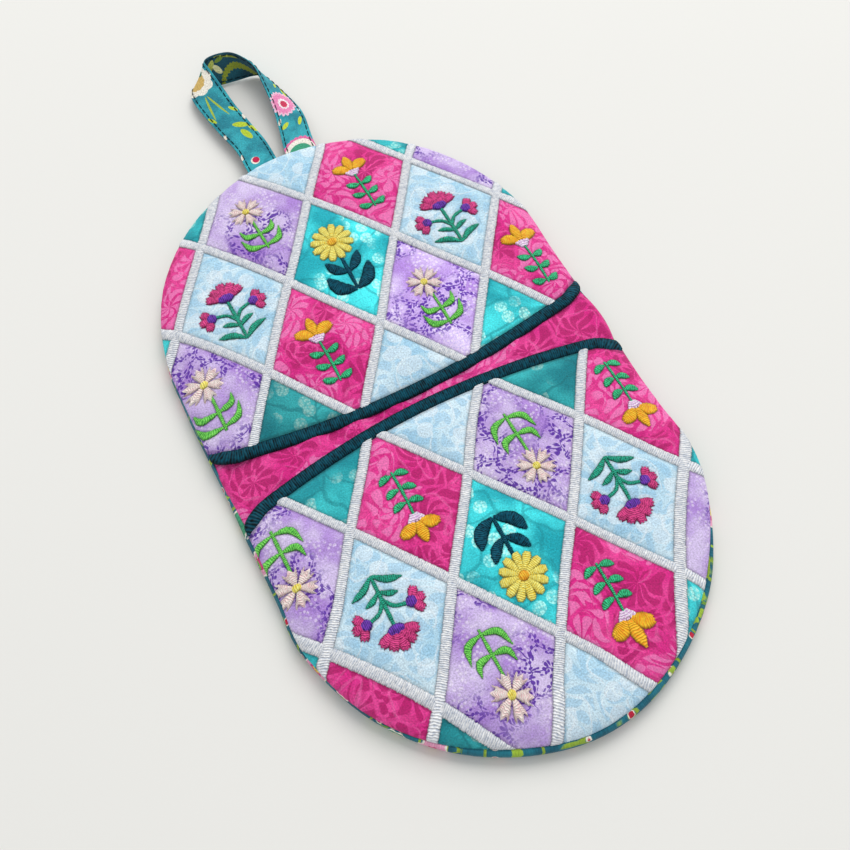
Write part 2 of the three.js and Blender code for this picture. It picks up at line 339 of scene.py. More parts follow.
def shell(points, faces, depth):
    """Closes an open sheet into a thin solid by adding a bottom copy and walls."""
    points = np.asarray(points, float)
    used = np.unique(np.array(faces).ravel())
    renumber = -np.ones(len(points), int)
    renumber[used] = np.arange(len(used))
    top = points[used]
    faces = [tuple(renumber[i] for i in face) for face in faces]
    return np.vstack([top, top - np.array([0, 0, depth])]), closed_over(faces, len(top)), used


def mirror(points, faces, half):
    """Upper-half geometry as it is, or turned over for the lower half."""
    if half == "upper":
        return points, faces
    return points * np.array([1, -1, 1]), flipped(faces)


def sewn_to(piece):
    """Bakes a pocket piece's placement into its mesh."""
    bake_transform(piece)


# ---------- shader helpers ----------


def srgb(code):
    """Linear colour from a web code."""
    values = [int(code[i : i + 2], 16) / 255 for i in (1, 3, 5)]
    return tuple(v / 12.92 if v <= 0.04045 else ((v + 0.055) / 1.055) ** 2.4 for v in values) + (1,)


class Shader:
    """A material and short calls for the nodes it needs."""

    def __init__(self, name, roughness=0.85, sheen=0.0, specular=0.35):
        self.material = bpy.data.materials.new(name)
        self.material.use_nodes = True
        self.tree = self.material.node_tree
        self.surface = self.tree.nodes["Principled BSDF"]
        self.surface.inputs["Roughness"].default_value = roughness
        self.surface.inputs["Sheen Weight"].default_value = sheen
        self.surface.inputs["Specular IOR Level"].default_value = specular

    def feed(self, socket, value):
        if isinstance(value, bpy.types.NodeSocket):
            self.tree.links.new(value, socket)
        else:
            socket.default_value = value

    def attribute(self, name):
        node = self.tree.nodes.new("ShaderNodeAttribute")
        node.attribute_name = name
        return node.outputs["Vector"]

    def math(self, operation, *values, clamp=False):
        node = self.tree.nodes.new("ShaderNodeMath")
        node.operation = operation
        node.use_clamp = clamp
        for socket, value in zip(node.inputs, values):
            self.feed(socket, value)
        return node.outputs[0]

    def times(self, *values):
        return self.math("MULTIPLY", *values)

    def plus(self, *values):
        return self.math("ADD", *values)

    def minus(self, *values):
        return self.math("SUBTRACT", *values)

    def times_plus(self, *values, clamp=False):
        return self.math("MULTIPLY_ADD", *values, clamp=clamp)

    def vector(self, operation, *values, output=0):
        node = self.tree.nodes.new("ShaderNodeVectorMath")
        node.operation = operation
        for socket, value in zip(node.inputs, values):
            self.feed(socket, value)
        return node.outputs[output]

    def scaled(self, vector, factor):
        node = self.tree.nodes.new("ShaderNodeVectorMath")
        node.operation = "SCALE"
        self.feed(node.inputs[0], vector)
        self.feed(node.inputs["Scale"], factor)
        return node.outputs[0]

    def split(self, vector):
        node = self.tree.nodes.new("ShaderNodeSeparateXYZ")
        self.feed(node.inputs[0], vector)
        return node.outputs

    def join(self, x, y, z=0.0):
        node = self.tree.nodes.new("ShaderNodeCombineXYZ")
        for socket, value in zip(node.inputs, (x, y, z)):
            self.feed(socket, value)
        return node.outputs[0]

    def noise(self, vector, scale, detail=2.0, output="Fac"):
        node = self.tree.nodes.new("ShaderNodeTexNoise")
        self.feed(node.inputs["Vector"], vector)
        node.inputs["Scale"].default_value = scale
        node.inputs["Detail"].default_value = detail
        return node.outputs[output]

    def voronoi(self, vector, scale, feature="F1", randomness=1.0):
        node = self.tree.nodes.new("ShaderNodeTexVoronoi")
        node.voronoi_dimensions = "2D"
        node.feature = feature
        self.feed(node.inputs["Vector"], vector)
        node.inputs["Scale"].default_value = scale
        node.inputs["Randomness"].default_value = randomness
        return node.outputs

    def step(self, value, low, high):
        """0 below low, 1 above high, smooth between. low may be above high."""
        node = self.tree.nodes.new("ShaderNodeMapRange")
        node.interpolation_type = "SMOOTHSTEP"
        self.feed(node.inputs["Value"], value)
        self.feed(node.inputs["From Min"], low)
        self.feed(node.inputs["From Max"], high)
        return node.outputs["Result"]

    def mix(self, factor, first, second):
        node = self.tree.nodes.new("ShaderNodeMix")
        node.data_type = "RGBA"
        self.feed(node.inputs[0], factor)
        self.feed(node.inputs[6], srgb(first) if isinstance(first, str) else first)
        self.feed(node.inputs[7], srgb(second) if isinstance(second, str) else second)
        return node.outputs[2]

    def shade(self, colour, factor):
        """colour times factor."""
        node = self.tree.nodes.new("ShaderNodeMix")
        node.data_type = "RGBA"
        node.blend_type = "MULTIPLY"
        node.inputs[0].default_value = 1.0
        self.feed(node.inputs[6], colour)
        self.feed(node.inputs[7], self.join(factor, factor, factor))
        return node.outputs[2]

    def bump(self, height, distance, strength=1.0):
        node = self.tree.nodes.new("ShaderNodeBump")
        node.inputs["Strength"].default_value = strength
        node.inputs["Distance"].default_value = distance
        self.feed(node.inputs["Height"], height)
        self.tree.links.new(node.outputs[0], self.surface.inputs["Normal"])

    def finish(self, colour):
        self.feed(self.surface.inputs["Base Color"], colour)
        return self.material


def painted_crease_shade(s, colour, seam_shade=0.5, needle_shade=0.42):
    """Painted shade: darkens the cloth's colour in the stitched ditch beside a seam and where embroidery
    pulls it down.
    """
    seam, needle, _ = s.split(s.attribute("crease"))
    ditch = s.step(seam, -0.3, 0.8)
    pulled = s.step(needle, -0.3, 0.55)
    shade = s.times(s.times_plus(ditch, seam_shade, 1 - seam_shade),
                    s.times_plus(pulled, needle_shade, 1 - needle_shade))
    return s.shade(colour, shade)


def weave(s, plan, colour):
    """Plain cotton weave: fine bump and a light speckle over a colour."""
    x, y, _ = s.split(plan)
    warp = s.math("SINE", s.times(x, 2 * math.pi / WEAVE_PITCH))
    weft = s.math("SINE", s.times(y, 2 * math.pi / WEAVE_PITCH))
    threads = s.times(warp, weft)
    grain = s.noise(plan, 1.9, 3)
    height = s.plus(s.times(threads, 0.3), s.times(grain, 1.8))
    s.bump(height, 0.00018)
    speckle = s.times_plus(s.minus(grain, 0.5), 1.15, 1.0)
    return s.shade(colour, speckle)


def polar(s, plan, cell, randomness=0.85):
    """Radius and angle about the nearest of a scatter of centres cell mm apart, and its random colour."""
    found = s.voronoi(plan, 1 / cell, randomness=randomness)
    offset = s.vector("SUBTRACT", plan, found["Position"])
    x, y, _ = s.split(offset)
    radius = s.vector("LENGTH", offset, output=1)
    return radius, s.math("ARCTAN2", y, x), s.split(found["Color"])


def drifting(s, plan, scale, reach):
    """The plan pushed about by a slow noise, so that a print on it doesn't repeat evenly."""
    return s.vector("ADD", plan, s.scaled(s.noise(plan, scale, 1, output="Color"), reach))


def fern_scrolls(s, plan, cell, pitch, count):
    """Curled fronds, leaflets set along a spiral: leaf mask, stem mask and the cell's random values."""
    radius, angle, random = polar(s, plan, cell)
    border = s.voronoi(plan, 1 / cell, "DISTANCE_TO_EDGE", 0.85)["Distance"]
    turns = s.math("DIVIDE", angle, 2 * math.pi)
    spiral = s.minus(s.math("DIVIDE", radius, pitch), turns)
    arm = s.math("FRACT", s.plus(spiral, random[0]))
    ring = s.math("FLOOR", s.math("DIVIDE", radius, pitch))
    density = s.times_plus(ring, count * 0.55, count)
    lean = s.times(arm, 0.9)
    around = s.math("FRACT", s.times_plus(turns, s.math("FLOOR", density), lean))
    across = s.math("ABSOLUTE", s.minus(around, 0.5))
    belly = s.times(s.times(arm, s.minus(1.0, arm)), 4.0)
    fullness = s.minus(s.times(s.math("POWER", belly, 0.7), 0.40), across)
    inside = s.step(border, 0.02, 0.07)
    leaf = s.times(s.step(fullness, -0.02, 0.06), inside)
    stem = s.times(s.step(s.math("ABSOLUTE", s.minus(arm, 0.03)), 0.09, 0.03), inside)
    return leaf, stem, random


# ---------- fabrics ----------


def pink_print():
    s = Shader("pink_fern_cotton", sheen=0.1)
    plan = s.attribute("print")
    flow = drifting(s, plan, 0.07, 12.0)
    leaf, stem, pick = fern_scrolls(s, flow, 15, 4.2, 6)
    behind, _, _ = fern_scrolls(s, s.vector("ADD", flow, (41.0, 23.0, 0.0)), 11, 3.0, 6)
    cloud = s.noise(plan, 0.07, 3)
    ground = s.mix(s.step(cloud, 0.36, 0.64), "#e3228c", "#f3489f")
    ground = s.mix(s.times(behind, 0.4), ground, "#c91873")
    pale = s.times(leaf, s.step(pick[1], 0.5, 0.55))
    deep = s.minus(leaf, pale)
    toned = s.mix(s.times(deep, 0.85), ground, "#bb0f6b")
    toned = s.mix(s.times(pale, 0.7), toned, "#f884c4")
    toned = s.mix(s.times(stem, 0.22), toned, "#f98bc6")
    # painted shade in the ditches beside seams and round the embroidery
    return s.finish(painted_crease_shade(s, weave(s, plan, toned)))


def sprig_lines(s, flow, spacing, leaf_size):
    """Fine twigs with small leaves beside them, as one mask."""
    edge = s.voronoi(flow, 1 / spacing, "DISTANCE_TO_EDGE")["Distance"]
    twig = s.step(edge, 0.030, 0.012)
    tight = s.voronoi(flow, 1 / leaf_size, randomness=0.8)["Distance"]
    leaf = s.step(tight, 0.42, 0.30)
    beside = s.step(edge, 0.24, 0.18)
    return s.math("MAXIMUM", twig, s.times(leaf, beside))


def lilac_print():
    s = Shader("mottled_lilac_cotton", sheen=0.1)
    plan = s.attribute("print")
    patch_tone, _, _ = s.split(s.attribute("patch_tone"))
    cloud = s.noise(plan, 0.075, 4)
    ground = s.mix(s.step(cloud, 0.34, 0.66), "#b088d9", "#dccaf2")
    flow = drifting(s, plan, 0.16, 5.0)
    sprigs = sprig_lines(s, flow, 6.5, 1.35)
    where = s.step(s.noise(plan, 0.04, 1), 0.43, 0.54)
    dots = s.step(s.voronoi(plan, 1 / 1.6)["Distance"], 0.36, 0.18)
    dots = s.times(dots, s.step(s.noise(s.vector("ADD", plan, (9.0, 5.0, 0.0)), 0.1, 1), 0.46, 0.58))
    toned = s.mix(s.times(dots, 0.5), ground, "#f6ecfd")
    toned = s.mix(s.times(s.times(sprigs, where), 0.95), toned, "#5a25a6")
    # each patch drawn lighter or darker by its own factor
    toned = s.shade(toned, s.plus(1.0, patch_tone))
    # painted shade in the ditches beside seams and round the embroidery
    return s.finish(painted_crease_shade(s, weave(s, plan, toned)))


def teal_print():
    s = Shader("mottled_teal_cotton", sheen=0.05)
    plan = s.attribute("print")
    patch_tone, _, _ = s.split(s.attribute("patch_tone"))
    cloud = s.noise(plan, 0.05, 4)
    ground = s.mix(s.step(cloud, 0.36, 0.66), "#1198a5", "#45dde2")
    flow = drifting(s, plan, 0.1, 8.0)
    stalks = s.step(s.voronoi(flow, 1 / 15.0, "DISTANCE_TO_EDGE")["Distance"], 0.05, 0.015)
    radius, angle, random = polar(s, flow, 8.0)
    petal = s.times_plus(s.math("COSINE", s.times(angle, 5)), 0.9, 2.3)
    shape = s.times(s.step(s.minus(radius, petal), 0.2, -0.2), s.step(random[2], 0.6, 0.64))
    bloom_radius, _, bloom_pick = polar(s, plan, 5.6)
    bloom = s.times(s.step(bloom_radius, 2.3, 1.9), s.step(bloom_pick[0], 0.5, 0.53))
    bloom = s.times(bloom, s.step(s.noise(plan, 0.05, 1), 0.44, 0.54))
    dots = s.step(s.voronoi(plan, 1 / 0.95)["Distance"], 0.55, 0.25)
    bloom = s.times(bloom, s.times_plus(dots, 0.45, 0.22))
    toned = s.mix(s.times(stalks, 0.5), ground, "#077f8a")
    toned = s.mix(s.times(shape, 0.45), toned, "#13a3ad")
    toned = s.mix(bloom, toned, "#c8fff4")
    # each patch drawn lighter or darker by its own factor
    toned = s.shade(toned, s.plus(1.0, patch_tone))
    # painted shade in the ditches beside seams and round the embroidery
    return s.finish(painted_crease_shade(s, weave(s, plan, toned)))


def blue_print():
    s = Shader("pale_blue_cotton", sheen=0.1)
    plan = s.attribute("print")
    cloud = s.noise(plan, 0.07, 3)
    ground = s.mix(s.step(cloud, 0.35, 0.65), "#b3dbf0", "#d6eefa")
    flow = drifting(s, plan, 0.09, 6.0)
    leaf, stem, _ = fern_scrolls(s, flow, 16, 5.2, 5)
    rounds, _, round_pick = polar(s, plan, 6.5)
    disc = s.times(s.step(rounds, 2.9, 2.6), s.step(round_pick[1], 0.5, 0.53))
    toned = s.mix(s.times(leaf, 0.5), ground, "#95c8e8")
    toned = s.mix(s.times(disc, 0.55), toned, "#e6f3fb")
    toned = s.mix(s.times(stem, 0.5), toned, "#e9f4fb")
    # lighter painted shade in the ditches beside seams and round the embroidery
    return s.finish(painted_crease_shade(s, weave(s, plan, toned), 0.4, 0.36))


COVER_LEAVES = (
    # spacing, length, pointedness, share of cells left bare, colour
    (6.5, 3.5, 3.0, 0.1, "#6f9a35"),
    (8.5, 5.2, 4.0, 0.12, "#a3c53c"),
)


def cover_print():
    s = Shader("teal_floral_cotton", sheen=0.1)
    plan = s.attribute("print")
    flow = drifting(s, plan, 0.09, 7.0)
    cloud = s.noise(plan, 0.1, 3)
    toned = s.mix(s.step(cloud, 0.35, 0.65), "#0f5c72", "#1c7789")
    vines = s.step(s.voronoi(flow, 1 / 15.0, "DISTANCE_TO_EDGE")["Distance"], 0.034, 0.02)
    toned = s.mix(vines, toned, "#93b23a")
    for cell, length, sharpness, share, colour in COVER_LEAVES:
        radius, angle, random = polar(s, flow, cell, 1.0)
        pair = s.math("ABSOLUTE", s.math("SINE", s.times_plus(random[2], 6.28, angle)))
        leaf = s.minus(s.times(s.math("POWER", pair, sharpness), length), radius)
        leaf = s.times(s.step(leaf, -0.1, 0.2), s.step(random[0], share, share + 0.03))
        toned = s.mix(leaf, toned, colour)
    radius, angle, random = polar(s, plan, 19.0)
    lobes = s.times(s.math("COSINE", s.times(angle, 9)), 0.3)
    reach = s.minus(radius, lobes)
    pink = s.step(random[1], 0.5, 0.52)
    reach = s.plus(reach, s.times(s.step(random[0], 0.34, 0.33), 9.0))
    outer = s.mix(pink, "#3f9a72", "#f2a6c6")
    inner = s.mix(pink, "#2f8a66", "#dd4a86")
    for size, colour in [(4.9, "#f4efe2"), (4.4, outer), (2.6, inner), (1.3, "#f2d65c")]:
        toned = s.mix(s.step(reach, size + 0.12, size - 0.12), toned, colour)
    berries = s.voronoi(plan, 1 / 6.0)
    berry_pick = s.times(s.step(s.split(berries["Color"])[1], 0.5, 0.53), s.step(radius, 5.4, 6.0))
    for size, colour in [(0.22, "#f4efe2"), (0.165, "#c4183c")]:
        spot = s.times(s.step(berries["Distance"], size + 0.01, size - 0.01), berry_pick)
        toned = s.mix(spot, toned, colour)
    return s.finish(weave(s, plan, toned))


def ellipse(s, strip, centre, length, width, turn=0.0):
    """1 inside an ellipse set at a place on the loop's strip, turn in degrees from its length."""
    offset = s.vector("SUBTRACT", strip, (centre[0], centre[1], 0.0))
    x, y, _ = s.split(offset)
    cos, sin = math.cos(math.radians(turn)), math.sin(math.radians(turn))
    along = s.math("DIVIDE", s.times_plus(x, cos, s.times(y, sin)), length / 2)
    aside = s.math("DIVIDE", s.times_plus(y, cos, s.times(x, -sin)), width / 2)
    reach = s.plus(s.math("POWER", s.math("ABSOLUTE", along), 1.7),
                   s.math("POWER", s.math("ABSOLUTE", aside), 2.0))
    return s.step(reach, 1.08, 0.92)


def rosette(s, strip, centre, radius, lobes, depth):
    """1 inside a round flower with a lobed edge."""
    x, y, _ = s.split(s.vector("SUBTRACT", strip, (centre[0], centre[1], 0.0)))
    distance = s.math("SQRT", s.plus(s.times(x, x), s.times(y, y)))
    wave = s.math("COSINE", s.times(s.math("ARCTAN2", y, x), lobes))
    edge = s.times_plus(s.math("ABSOLUTE", wave), depth, radius)
    return s.step(s.minus(distance, edge), 0.12, -0.12)


def loop_print():
    """The cover's floral cloth as it falls on the hanging loop, on its outer and inner faces."""
    s = Shader("teal_floral_loop_cotton", sheen=0.1)
    strip = s.attribute("print")
    _, _, face = s.split(strip)
    front = s.step(face, -0.2, 0.2)
    cloud = s.noise(strip, 0.16, 3)
    outside = s.mix(s.step(cloud, 0.35, 0.65), "#1a8496", "#33aebb")
    sprays = [
        # centre, length, width, turn, colour
        ((27.0, 2.4), 5.4, 2.6, -62, "#bcd233"), ((22.0, 1.8), 5.6, 2.6, -8, "#bcd233"),
        ((23.5, 5.2), 4.2, 1.8, -20, "#c7d93a"), ((35.0, 4.2), 3.6, 1.5, -30, "#c7d93a"),
        ((39.0, 0.6), 12.0, 0.8, -12, "#a9bf3c"), ((39.0, -2.4), 12.0, 0.8, 10, "#a9bf3c"),
        ((33.5, -4.6), 4.0, 1.4, -20, "#bcd233"), ((12.5, -5.2), 2.6, 1.0, 20, "#f1ecdc"),
        ((24.0, -5.2), 2.6, 1.1, 20, "#f1ecdc"), ((30.0, 5.4), 2.6, 0.9, 10, "#f1ecdc"),
        ((108.0, -3.2), 3.8, 1.7, 20, "#c7d93a"), ((107.0, 3.0), 3.4, 2.0, 60, "#c7d93a"),
        ((92.0, -4.0), 4.6, 1.5, 10, "#c7d93a"), ((88.0, -2.4), 3.0, 1.4, 40, "#c7d93a"),
        ((102.5, -4.6), 2.0, 1.2, 0, "#bfe6ea"), ((104.5, 4.8), 2.4, 1.2, 30, "#f1ecdc"),
    ]
    for centre, length, width, turn, colour in sprays:
        outside = s.mix(ellipse(s, strip, centre, length, width, turn), outside, colour)
    blooms = [
        ((9.3, -1.4), 1.6, 1, 0.0, "#f4efe2"), ((9.5, -1.1), 1.3, 1, 0.0, "#c8124a"),
        ((52.0, -1.0), 5.2, 4, 0.8, "#f6f1e3"), ((52.6, -1.4), 3.0, 5, 0.4, "#d8b563"),
        ((55.0, 1.2), 1.1, 1, 0.0, "#1d7a60"),
        ((97.5, 0.6), 5.0, 9, 0.9, "#f8c8de"), ((97.5, 0.6), 4.2, 9, 0.8, "#f08cbc"),
        ((97.8, 0.4), 2.2, 5, 0.4, "#fbeef2"), ((98.0, 0.4), 1.4, 5, 0.3, "#d02f58"),
        ((121.5, 0.4), 6.6, 11, 0.55, "#e76fa8"), ((121.5, 0.4), 5.9, 1, 0.0, "#f7f0e4"),
        ((122.3, 0.4), 4.6, 1, 0.0, "#3aa07c"),
    ]
    for centre, radius, lobes, depth, colour in blooms:
        outside = s.mix(rosette(s, strip, centre, radius, lobes, depth), outside, colour)
    # painted shade: the inner face is the same cloth drawn darker, as it faces away from the light
    inside = s.mix(s.step(cloud, 0.35, 0.65), "#0b4455", "#145869")
    arc = s.times(rosette(s, strip, (71.0, -5.5), 7.2, 16, 0.5),
                  s.minus(1.0, rosette(s, strip, (70.4, -6.6), 5.4, 12, 0.6)))
    inside = s.mix(arc, inside, "#8c9a2c")
    leaves = [((60.0, 1.6), 5.4, 2.6, 60, "#b7c25a"), ((62.8, 0.2), 4.6, 2.2, -50, "#dfe0a8"),
              ((67.0, 4.4), 10.0, 0.9, -6, "#93a03a"), ((64.0, 3.6), 4.0, 1.6, 20, "#6f8a30")]
    for centre, length, width, turn, colour in leaves:
        inside = s.mix(ellipse(s, strip, centre, length, width, turn), inside, colour)
    return s.finish(weave(s, strip, s.mix(front, inside, outside)))


def wadding_felt():
    s = Shader("white_wadding", roughness=1.0, sheen=0.2)
    plan = s.attribute("plan")
    fluff = s.noise(plan, 0.9, 4)
    s.bump(fluff, 0.0006, 0.8)
    return s.finish(s.mix(fluff, "#e4e1da", "#f8f6f1"))


def thread(name, dark, light, pitch=0.6, edge_shade=0.5, edge=0.6, gloss=0.3, sheen=0.05):
    """Satin stitching. 'thread' holds mm along the row, -1 to 1 across it and a random value."""
    s = Shader(name, roughness=0.5, sheen=sheen, specular=gloss)
    along, across, pick = s.split(s.attribute("thread"))
    shake = s.noise(s.join(s.times(along, 0.7), s.times(across, 0.9), pick), 1.0, 2)
    row = s.plus(along, s.times(shake, 0.7))
    turn = s.times(row, 2 * math.pi / pitch)
    ridge = s.times_plus(s.math("COSINE", turn), 0.5, 0.5)
    number = s.math("FLOOR", s.math("DIVIDE", row, pitch))
    wander = s.noise(s.join(s.times(number, 1.7), s.times(across, 0.8), pick), 2.3, 1)
    spread = s.times_plus(s.minus(wander, 0.5), 1.7, 0.28)
    # painted highlight on each thread's crest and painted shade in its groove; spread is the threads' own
    # random tone
    tone = s.times_plus(ridge, 0.55, spread, clamp=True)
    s.bump(s.times_plus(wander, 0.7, ridge), 0.00026)
    # painted shade: the stitching darkens towards both edges, where it rolls down into the cloth
    rim = s.step(s.math("ABSOLUTE", across), edge, 1.0)
    shade = s.minus(1.0, s.times(rim, edge_shade))
    return s.finish(s.shade(s.mix(tone, dark, light), shade))


FABRIC = {
    "pink": pink_print(),
    "lilac": lilac_print(),
    "teal": teal_print(),
    "blue": blue_print(),
    "cover": cover_print(),
    "loop": loop_print(),
    "wadding": wadding_felt(),
}
# dark to light spans random thread tone and painted groove shade to crest highlight; edge_shade is painted
# edge shade
THREAD = {
    "sash": thread("silver_sash_thread", "#b9c2d2", "#ffffff", pitch=0.62, edge_shade=0.4, edge=0.74),
    # the rope's strong edge_shade paints shade down its sides and leaves its top lit
    "mouth": thread("dark_teal_thread", "#00060a", "#055468", pitch=0.7, edge_shade=0.8, edge=0.3,
                    gloss=0.12, sheen=0.0),
    "orange": thread("orange_thread", "#f79000", "#ffd02c", edge_shade=0.5),
    "blush": thread("blush_thread", "#f4c6c8", "#fff7ee", edge_shade=0.35),
    "lavender": thread("lavender_thread", "#cf8fd4", "#fff6ff", pitch=0.8, edge_shade=0.3),
    "green": thread("green_thread", "#006b3c", "#3de29c", edge_shade=0.6),
    "lime": thread("lime_thread", "#1f9228", "#8df568", edge_shade=0.6),
    "magenta": thread("magenta_thread", "#8e0a50", "#ff4f9f", edge_shade=0.6),
    "purple": thread("purple_thread", "#2a0b5c", "#8340d0", edge_shade=0.6),
    "stem": thread("stem_thread", "#004b40", "#22c49f", edge_shade=0.6),
    "yellow": thread("yellow_thread", "#ecc722", "#fffb8c", edge_shade=0.5),
    "amber": thread("amber_thread", "#ee8c00", "#ffcf3a"),
    "navy": thread("navy_thread", "#001522", "#0c6078", edge_shade=0.6, gloss=0.12, sheen=0.0),
    "stitch": thread("topstitch_thread", "#02161d", "#0f3a47", edge_shade=0.0, gloss=0.12, sheen=0.0),
}


# ---------- patchwork ----------


def fabric_of(m, n):
    if n % 2 == 0:
        return "teal" if m % 2 == 0 else "lilac"
    return "pink" if m % 2 == 0 else "blue"


def cell_centre(m, n):
    return (m - n) * CELL_X, LATTICE_TOP_Y - (m + n + 1) * CELL_Y


def pull_inside(x, y, half):
    """Moves points that lie past the rim or under the mouth onto that edge."""
    y = np.maximum(y, mouth_y(x) - 0.3)
    x = np.clip(x, -HALF_WIDTH + 0.01, HALF_WIDTH - 0.01)
    limit = HALF_WIDTH - seam_inset(x, y, half)
    lift = np.maximum(y - END_CENTRE, 0.0)
    reach = np.hypot(x, lift)
    shrink = np.minimum(limit / np.maximum(reach, 1e-6), 1.0)
    return x * shrink, np.where(lift > 0, END_CENTRE + lift * shrink, y)


def patch_sheet(m, n, half):
    """The open top surface of one patch, its crease shading, and the flat plan it was cut to."""
    cx, cy = cell_centre(m, n)
    count = int(math.hypot(CELL_X, CELL_Y) / PATCH_STEP)
    side = np.linspace(-1, 1, count)
    s, t = np.meshgrid(side, side, indexing="ij")
    x = (cx + (s + t) * CELL_X / 2).ravel()
    y = (cy + (t - s) * CELL_Y / 2).ravel()
    x, y = pull_inside(x, y, half)
    needle = needle_distance(x, y, m, n, half)
    z = panel_height(x, y, half, needle)
    px, py = plump(x, y, half)
    points = np.column_stack([px, py, z])
    faces = drop_flat_faces(np.column_stack([x, y, z * 0.2]), grid_faces(count, count))
    seam = np.minimum(line_distance(x, y) - SASH_HALF, (y - mouth_y(x)) * MOUTH_SLANT - SATIN_HALF)
    rim = rim_distance(x, y) - seam_inset(x, y, half)
    crease = np.column_stack([seam, needle, rim])
    return points, faces, crease, laid_flat(x, y, half)


def print_offset(points, seed):
    """Where on its print a piece was cut."""
    draw = np.random.default_rng(seed)
    return points * np.array([1, 1, 0]) + np.array([draw.uniform(-300, 300), draw.uniform(-300, 300), 0])


def patch_names():
    """(row, column, m, n) for every CAD patch, counted as the CAD names them."""
    present = {name for name in frame["nodes"] if name.startswith("upper_patch")}
    listed = []
    for row in range(-2, 3):
        column = 1
        for m in range(-3, 4):
            n = row - m
            name = f"patch_row{row + 3}_{column}_{fabric_of(m, n)}"
            cx, cy = cell_centre(m, n)
            near_rim = rim_distance(abs(cx) - CELL_X * 0.62, max(cy - CELL_Y * 0.62, 0)) > 0
            if near_rim and f"upper_{name}" in present:
                listed.append((name, m, n))
                column += 1
    return listed


def split_at_middle(points, faces):
    """The faces to the left and to the right of X = 0."""
    centres = np.array([points[list(face)][:, 0].mean() for face in faces])
    return [f for f, c in zip(faces, centres) if c < 0], [f for f, c in zip(faces, centres) if c >= 0]


def build_patch(name, m, n, half, seed):
    points, faces, crease, cut = patch_sheet(m, n, half)
    cx, _ = cell_centre(m, n)
    parts = {"": faces}
    if abs(cx) < 1:
        left, right = split_at_middle(points, faces)
        parts = {"_left": left, "_right": right}
    for suffix, part in parts.items():
        solid, closed, used = shell(points, part, CLOTH_DEPTH)
        solid, closed = mirror(solid, closed, half)
        fabric = fabric_of(m, n)
        values = {
            "print": print_offset(solid, seed),
            "crease": np.vstack([crease[used]] * 2),
            "patch_tone": np.full_like(solid, PATCH_TONE[half].get((m, n), 0.0)),
        }
        full_name = f"{half}_{name}{suffix}_cloth"
        piece = make_piece(full_name, solid, closed, [FABRIC[fabric]], values, crisp=True)
        if f"{half}_{name}" in frame["nodes"]:
            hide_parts(f"{half}_{name}")
        sewn_to(piece)


# ---------- satin lattice ----------


def sash_run(family, line):
    """Centre-line points of one sash, inside the rim and clear of the mouth, and its direction."""
    direction = np.array([CELL_X, -CELL_Y] if family == "n" else [-CELL_X, -CELL_Y])
    sign = -1 if family == "n" else 1
    start = np.array([sign * line * CELL_X, LATTICE_TOP_Y - line * CELL_Y])
    length = np.hypot(*direction)
    ts = np.arange(-5, 5, SASH_STEP / length)
    run = start + ts[:, None] * direction
    inside = rim_distance(run[:, 0], run[:, 1]) > -1.5
    inside &= run[:, 1] > mouth_y(run[:, 0]) - 0.8
    return run[inside], direction / length


def sash_mesh(family, line, half, seed):
    run, along = sash_run(family, line)
    normal = np.array([-along[1], along[0]])
    draw = np.random.default_rng(seed)
    columns = 11
    spread = np.linspace(-1, 1, columns)
    rows = len(run)
    ragged = SASH_HALF + draw.normal(0, 0.08, (rows, 2))
    widths = np.where(spread[None, :] < 0, ragged[:, :1], ragged[:, 1:])
    x = run[:, :1] + normal[0] * spread * widths
    y = run[:, 1:] + normal[1] * spread * widths
    x, y = pull_inside(x.ravel(), y.ravel(), half)
    y = np.maximum(y, mouth_y(x) + SATIN_HALF - 0.9)
    ridge = 0.62 * (1 - np.abs(spread) ** 3.2) - 0.1 + (0.1 if family == "n" else 0.0)
    lift = (ridge[None, :] + draw.normal(0, 0.035, (rows, columns))).ravel()
    z = panel_base(x, y, half) - 0.72 + lift
    px, py = plump(x, y, half)
    points = np.column_stack([px, py, z])
    distance = np.repeat(np.arange(rows) * SASH_STEP, columns)
    threads = np.column_stack([distance, np.tile(spread, rows), np.full(rows * columns, seed)])
    faces = drop_flat_faces(np.column_stack([x, y, z * 0.2]), grid_faces(rows, columns), 0.004)
    if family == "n":
        faces = flipped(faces)
    return points, threads, faces


def build_lattice(half):
    gathered = {"left": [], "right": []}
    for family in ("n", "m"):
        for line in LATTICE_LINES:
            seed = 100 + 10 * line + (5 if family == "n" else 0) + (50 if half == "lower" else 0)
            points, threads, faces = sash_mesh(family, line, half, seed)
            for side, part in zip(("left", "right"), split_at_middle(points, faces)):
                if part:
                    solid, closed, used = shell(points, part, 0.5)
                    solid, closed = mirror(solid, closed, half)
                    gathered[side].append((solid, closed, np.vstack([threads[used]] * 2)))
    for side, parts in gathered.items():
        points, faces, threads = joined(parts)
        piece = make_piece(f"{half}_lattice_{side}", points, faces, [THREAD["sash"]], {"thread": threads})
        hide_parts(f"{half}_satin_lattice")
        sewn_to(piece)


def joined(parts):
    """Several (points, faces, values) meshes as one."""
    points, faces, values, start = [], [], [], 0
    for part_points, part_faces, part_values in parts:
        points.append(part_points)
        values.append(part_values)
        faces.extend(tuple(i + start for i in face) for face in part_faces)
        start += len(part_points)
    return np.vstack(points), faces, np.vstack(values)


# ---------- pocket mouths, linings and padding ----------


